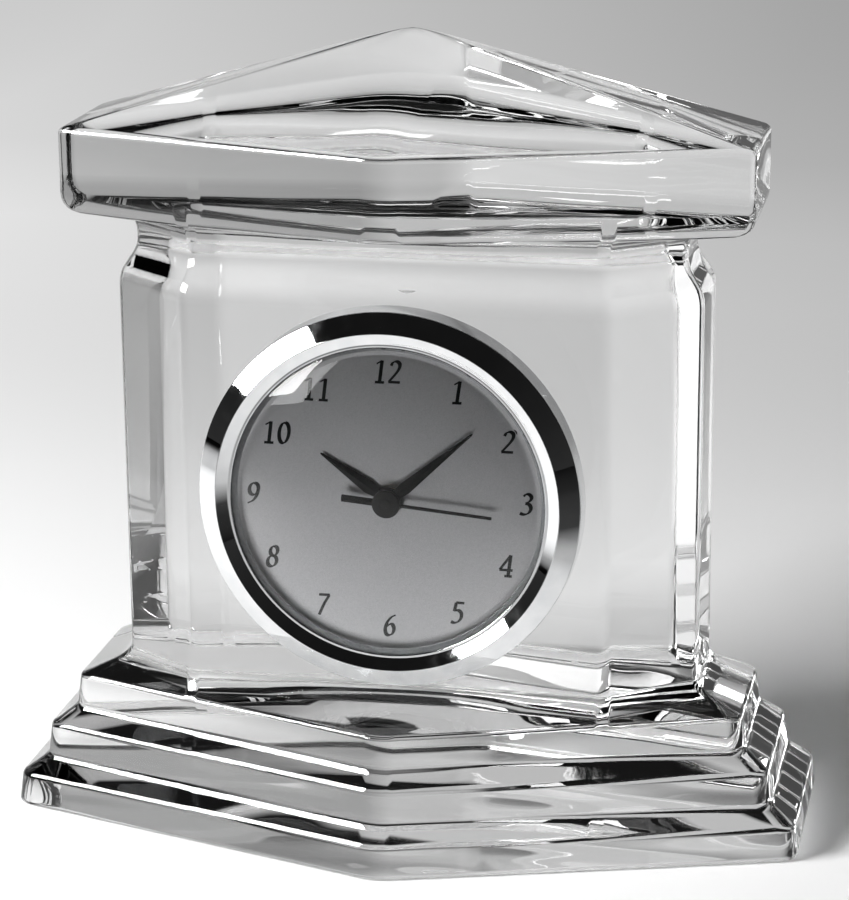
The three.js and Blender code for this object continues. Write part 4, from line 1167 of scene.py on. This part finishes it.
def knob():
    back, front = levels("set_knob")
    rows = [(back + along, inset) for along, inset in KNOB_BACK_EDGE]
    rows += [(front - along, inset) for along, inset in KNOB_FRONT_EDGE]
    count = KNOB_RIBS * KNOB_RIB_STEPS
    rings = []
    for level, inset in rows:
        ring = []
        for i in range(count):
            turn = 2 * math.pi * i / count
            rib = KNOB_RIB_DEPTH * (0.5 - 0.5 * math.cos(KNOB_RIBS * turn))
            x, y = polar(KNOB_RADIUS - inset - rib, turn)
            ring.append(insert_point(SET_CENTRE[0] + x, SET_CENTRE[1] + y, level))
        rings.append(ring)
    piece = lofted("knob", rings)
    outside = back - CUT_MARGIN
    middle, rim = KNOB_DISH_DEPTHS
    dish = turned("dish", [
        (0, outside), (KNOB_DISH_RADIUS, outside), (KNOB_DISH_RADIUS, back + rim), (0, back + middle),
    ], DRILL_SIDES, SET_CENTRE)
    cut(piece, drill(STEM_HOLE, back + KNOB_FLOOR, front + CUT_MARGIN, SET_CENTRE), dish)
    soften(piece)
    dress(piece, "setting", "black_plastic", "set_knob", look="dark_plastic")


def case_screw(centre):
    seat = CAN_BACK - SEAT_GAP
    top = seat - SCREW_HEAD_HEIGHT
    screw = turned_edges("case_screw", [
        (0, top, 0),
        (SCREW_CROWN, seat - SCREW_CROWN_HEIGHT, SOFT_EDGE),
        (SCREW_HEAD, seat - SCREW_RIM_HEIGHT, ROUND_EDGE),
        (SCREW_HEAD, seat, FINE_EDGE),
        (SCREW_SHANK, seat, FINE_EDGE),
        (SCREW_SHANK, seat + SCREW_LENGTH, SOFT_EDGE),
        (0, seat + SCREW_LENGTH, 0),
    ], SCREW_SIDES, centre)
    cut(screw, slot_bar(centre, SCREW_HEAD * 2, SCREW_SLOT, top - CUT_MARGIN, seat - SCREW_SLOT_FLOOR))
    soften(screw)
    return screw


rear_can()
grip()
cell_cap()
knob()
for number, centre in enumerate(screw_places(), 1):
    screw = case_screw(centre)
    screw.name = f"case_screw_head_{number}"
    dress(screw, "insert", "steel", f"case_screw_{number}")

# The movement keeps its solids and takes the finishes of its slots
replaced = {node for piece in bpy.data.objects for node in piece.get("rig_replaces", [])}
for subpart in frame["record"]["subparts"]:
    if subpart["node"] not in replaced:
        for holder in nodes[subpart["node"]].material_slots:
            holder.material = looks[subpart["material_slot"]]


# Stage
def paper_line():
    line = [(FLOOR_NEAR, -FLOOR_DROP), (0, -FLOOR_DROP)]
    for step in range(CURVE_STEPS + 1):
        turn = math.pi / 2 * step / CURVE_STEPS
        rise = CURVE_RADIUS * (1 - math.cos(turn))
        line.append((CURVE_START + CURVE_RADIUS * math.sin(turn), rise - FLOOR_DROP))
    return line + [(CURVE_START + CURVE_RADIUS, PAPER_TOP)]


# The lamp lights the paper near the clock; for metal and glass its colour carries painted light, a pool
# bright near the clock and painted darker in front and to the right, with a painted shadow just behind the
# clock
def lit_paper(tree, shader, x, y):
    settings(shader, roughness=PAPER_ROUGHNESS)
    least = (*grey(PAINTED_LIGHT_LEAST), 1)
    width = fade(tree, x, PAINTED_LIGHT_ACROSS)
    reach = mix(tree, onset(tree, y, PAINTED_LIGHT_LEAST_START), width, least, "LIGHTEN")
    seen = product(tree, fade(tree, y, PAINTED_LIGHT_BEHIND), reach)
    pale = mix(tree, light_path(tree, "Is Camera Ray"), seen, (*grey(1), 1))
    tree.links.new(product(tree, (*grey(PAPER_GREY), 1), pale), shader.inputs["Base Color"])


# The floor under the block glows where it is seen through the glass
def glow_under(tree, shader, x, y):
    settings(shader, emission_strength=UNDER_GLOW)
    under = product(tree, fade(tree, x, UNDER_ACROSS), fade(tree, y, UNDER_BEHIND))
    through = product(tree, under, light_path(tree, "Is Transmission Ray"))
    tree.links.new(through, shader.inputs["Emission Color"])


# Far behind, the paper glows until it fades out at its top
def glowing_paper(tree, x, y, z):
    glow = tree.nodes.new("ShaderNodeEmission")
    colour = product(tree, fade(tree, y, GLOW_BEHIND), fade(tree, x, GLOW_ACROSS))
    tree.links.new(colour, glow.inputs["Color"])
    strength = remap(tree, z, [height * MM for height in GLOW_TOP], (1, GLOW_TOP_LEVEL))
    tree.links.new(strength, glow.inputs["Strength"])
    return glow.outputs["Emission"]


def stage_material():
    material, tree, shader = new_material("stage_paper")
    x, y, z = axes(tree, tree.nodes.new("ShaderNodeNewGeometry").outputs["Position"])
    lit_paper(tree, shader, x, y)
    glow_under(tree, shader, x, y)
    glow = glowing_paper(tree, x, y, z)
    mix_surface(tree, onset(tree, y, GLOW_START), shader.outputs["BSDF"], glow)
    return material


def paper_floor():
    line = paper_line()
    points = [block_point(side * PAPER_HALF_WIDTH, y, z) for y, z in line for side in (-1, 1)]
    faces = [[2 * i, 2 * i + 1, 2 * i + 3, 2 * i + 2] for i in range(len(line) - 1)]
    floor = mesh_object("paper_floor", points, faces)
    floor.data.shade_smooth()
    floor.data.materials.append(stage_material())


def studio_world():
    world = bpy.data.worlds.new("studio")
    bpy.context.scene.world = world
    world.use_nodes = True
    tree = world.node_tree
    up = axes(tree, tree.nodes.new("ShaderNodeTexCoord").outputs["Generated"])[2]
    room = ramp(tree, remap(tree, up, (-1, 1), (0, 1)), [(share, grey(level)) for share, level in ROOM])
    colour = mix(tree, light_path(tree, "Is Camera Ray"), room, (*grey(ROOM_SEEN), 1))
    tree.links.new(colour, tree.nodes["Background"].inputs["Color"])


def soft_lamp(name, direction, distance, size, watts):
    lamp = bpy.data.lights.new(name, "AREA")
    lamp.shape = "RECTANGLE"
    lamp.size = size[0] * MM
    lamp.size_y = size[1] * MM
    lamp.energy = watts
    holder = new_object(name, lamp)
    towards = Vector(direction).normalized()
    holder.location = block_point(*KEY_AIM) + towards * distance * MM
    holder.rotation_euler = towards.to_track_quat("Z", "Y").to_euler()


def camera():
    lens = bpy.data.cameras.new("photo_camera")
    lens.lens = CAMERA_LENS
    holder = new_object("photo_camera", lens)
    back = Vector((
        math.sin(CAMERA_YAW) * math.cos(CAMERA_PITCH),
        -math.cos(CAMERA_YAW) * math.cos(CAMERA_PITCH),
        math.sin(CAMERA_PITCH),
    ))
    right = Vector((math.cos(CAMERA_YAW), math.sin(CAMERA_YAW), 0))
    up = back.cross(right)
    rolled_right = math.cos(CAMERA_ROLL) * right + math.sin(CAMERA_ROLL) * up
    rolled_up = math.cos(CAMERA_ROLL) * up - math.sin(CAMERA_ROLL) * right
    turned_axes = Matrix((rolled_right, rolled_up, back)).transposed().to_4x4()
    holder.matrix_world = Matrix.Translation(block_point(*CAMERA_PLACE)) @ turned_axes
    bpy.context.scene.camera = holder


paper_floor()
studio_world()
soft_lamp("key_softbox", KEY_DIRECTION, KEY_DISTANCE, KEY_SIZE, KEY_WATTS)
camera()
bpy.context.scene.view_settings.view_transform = "Standard"
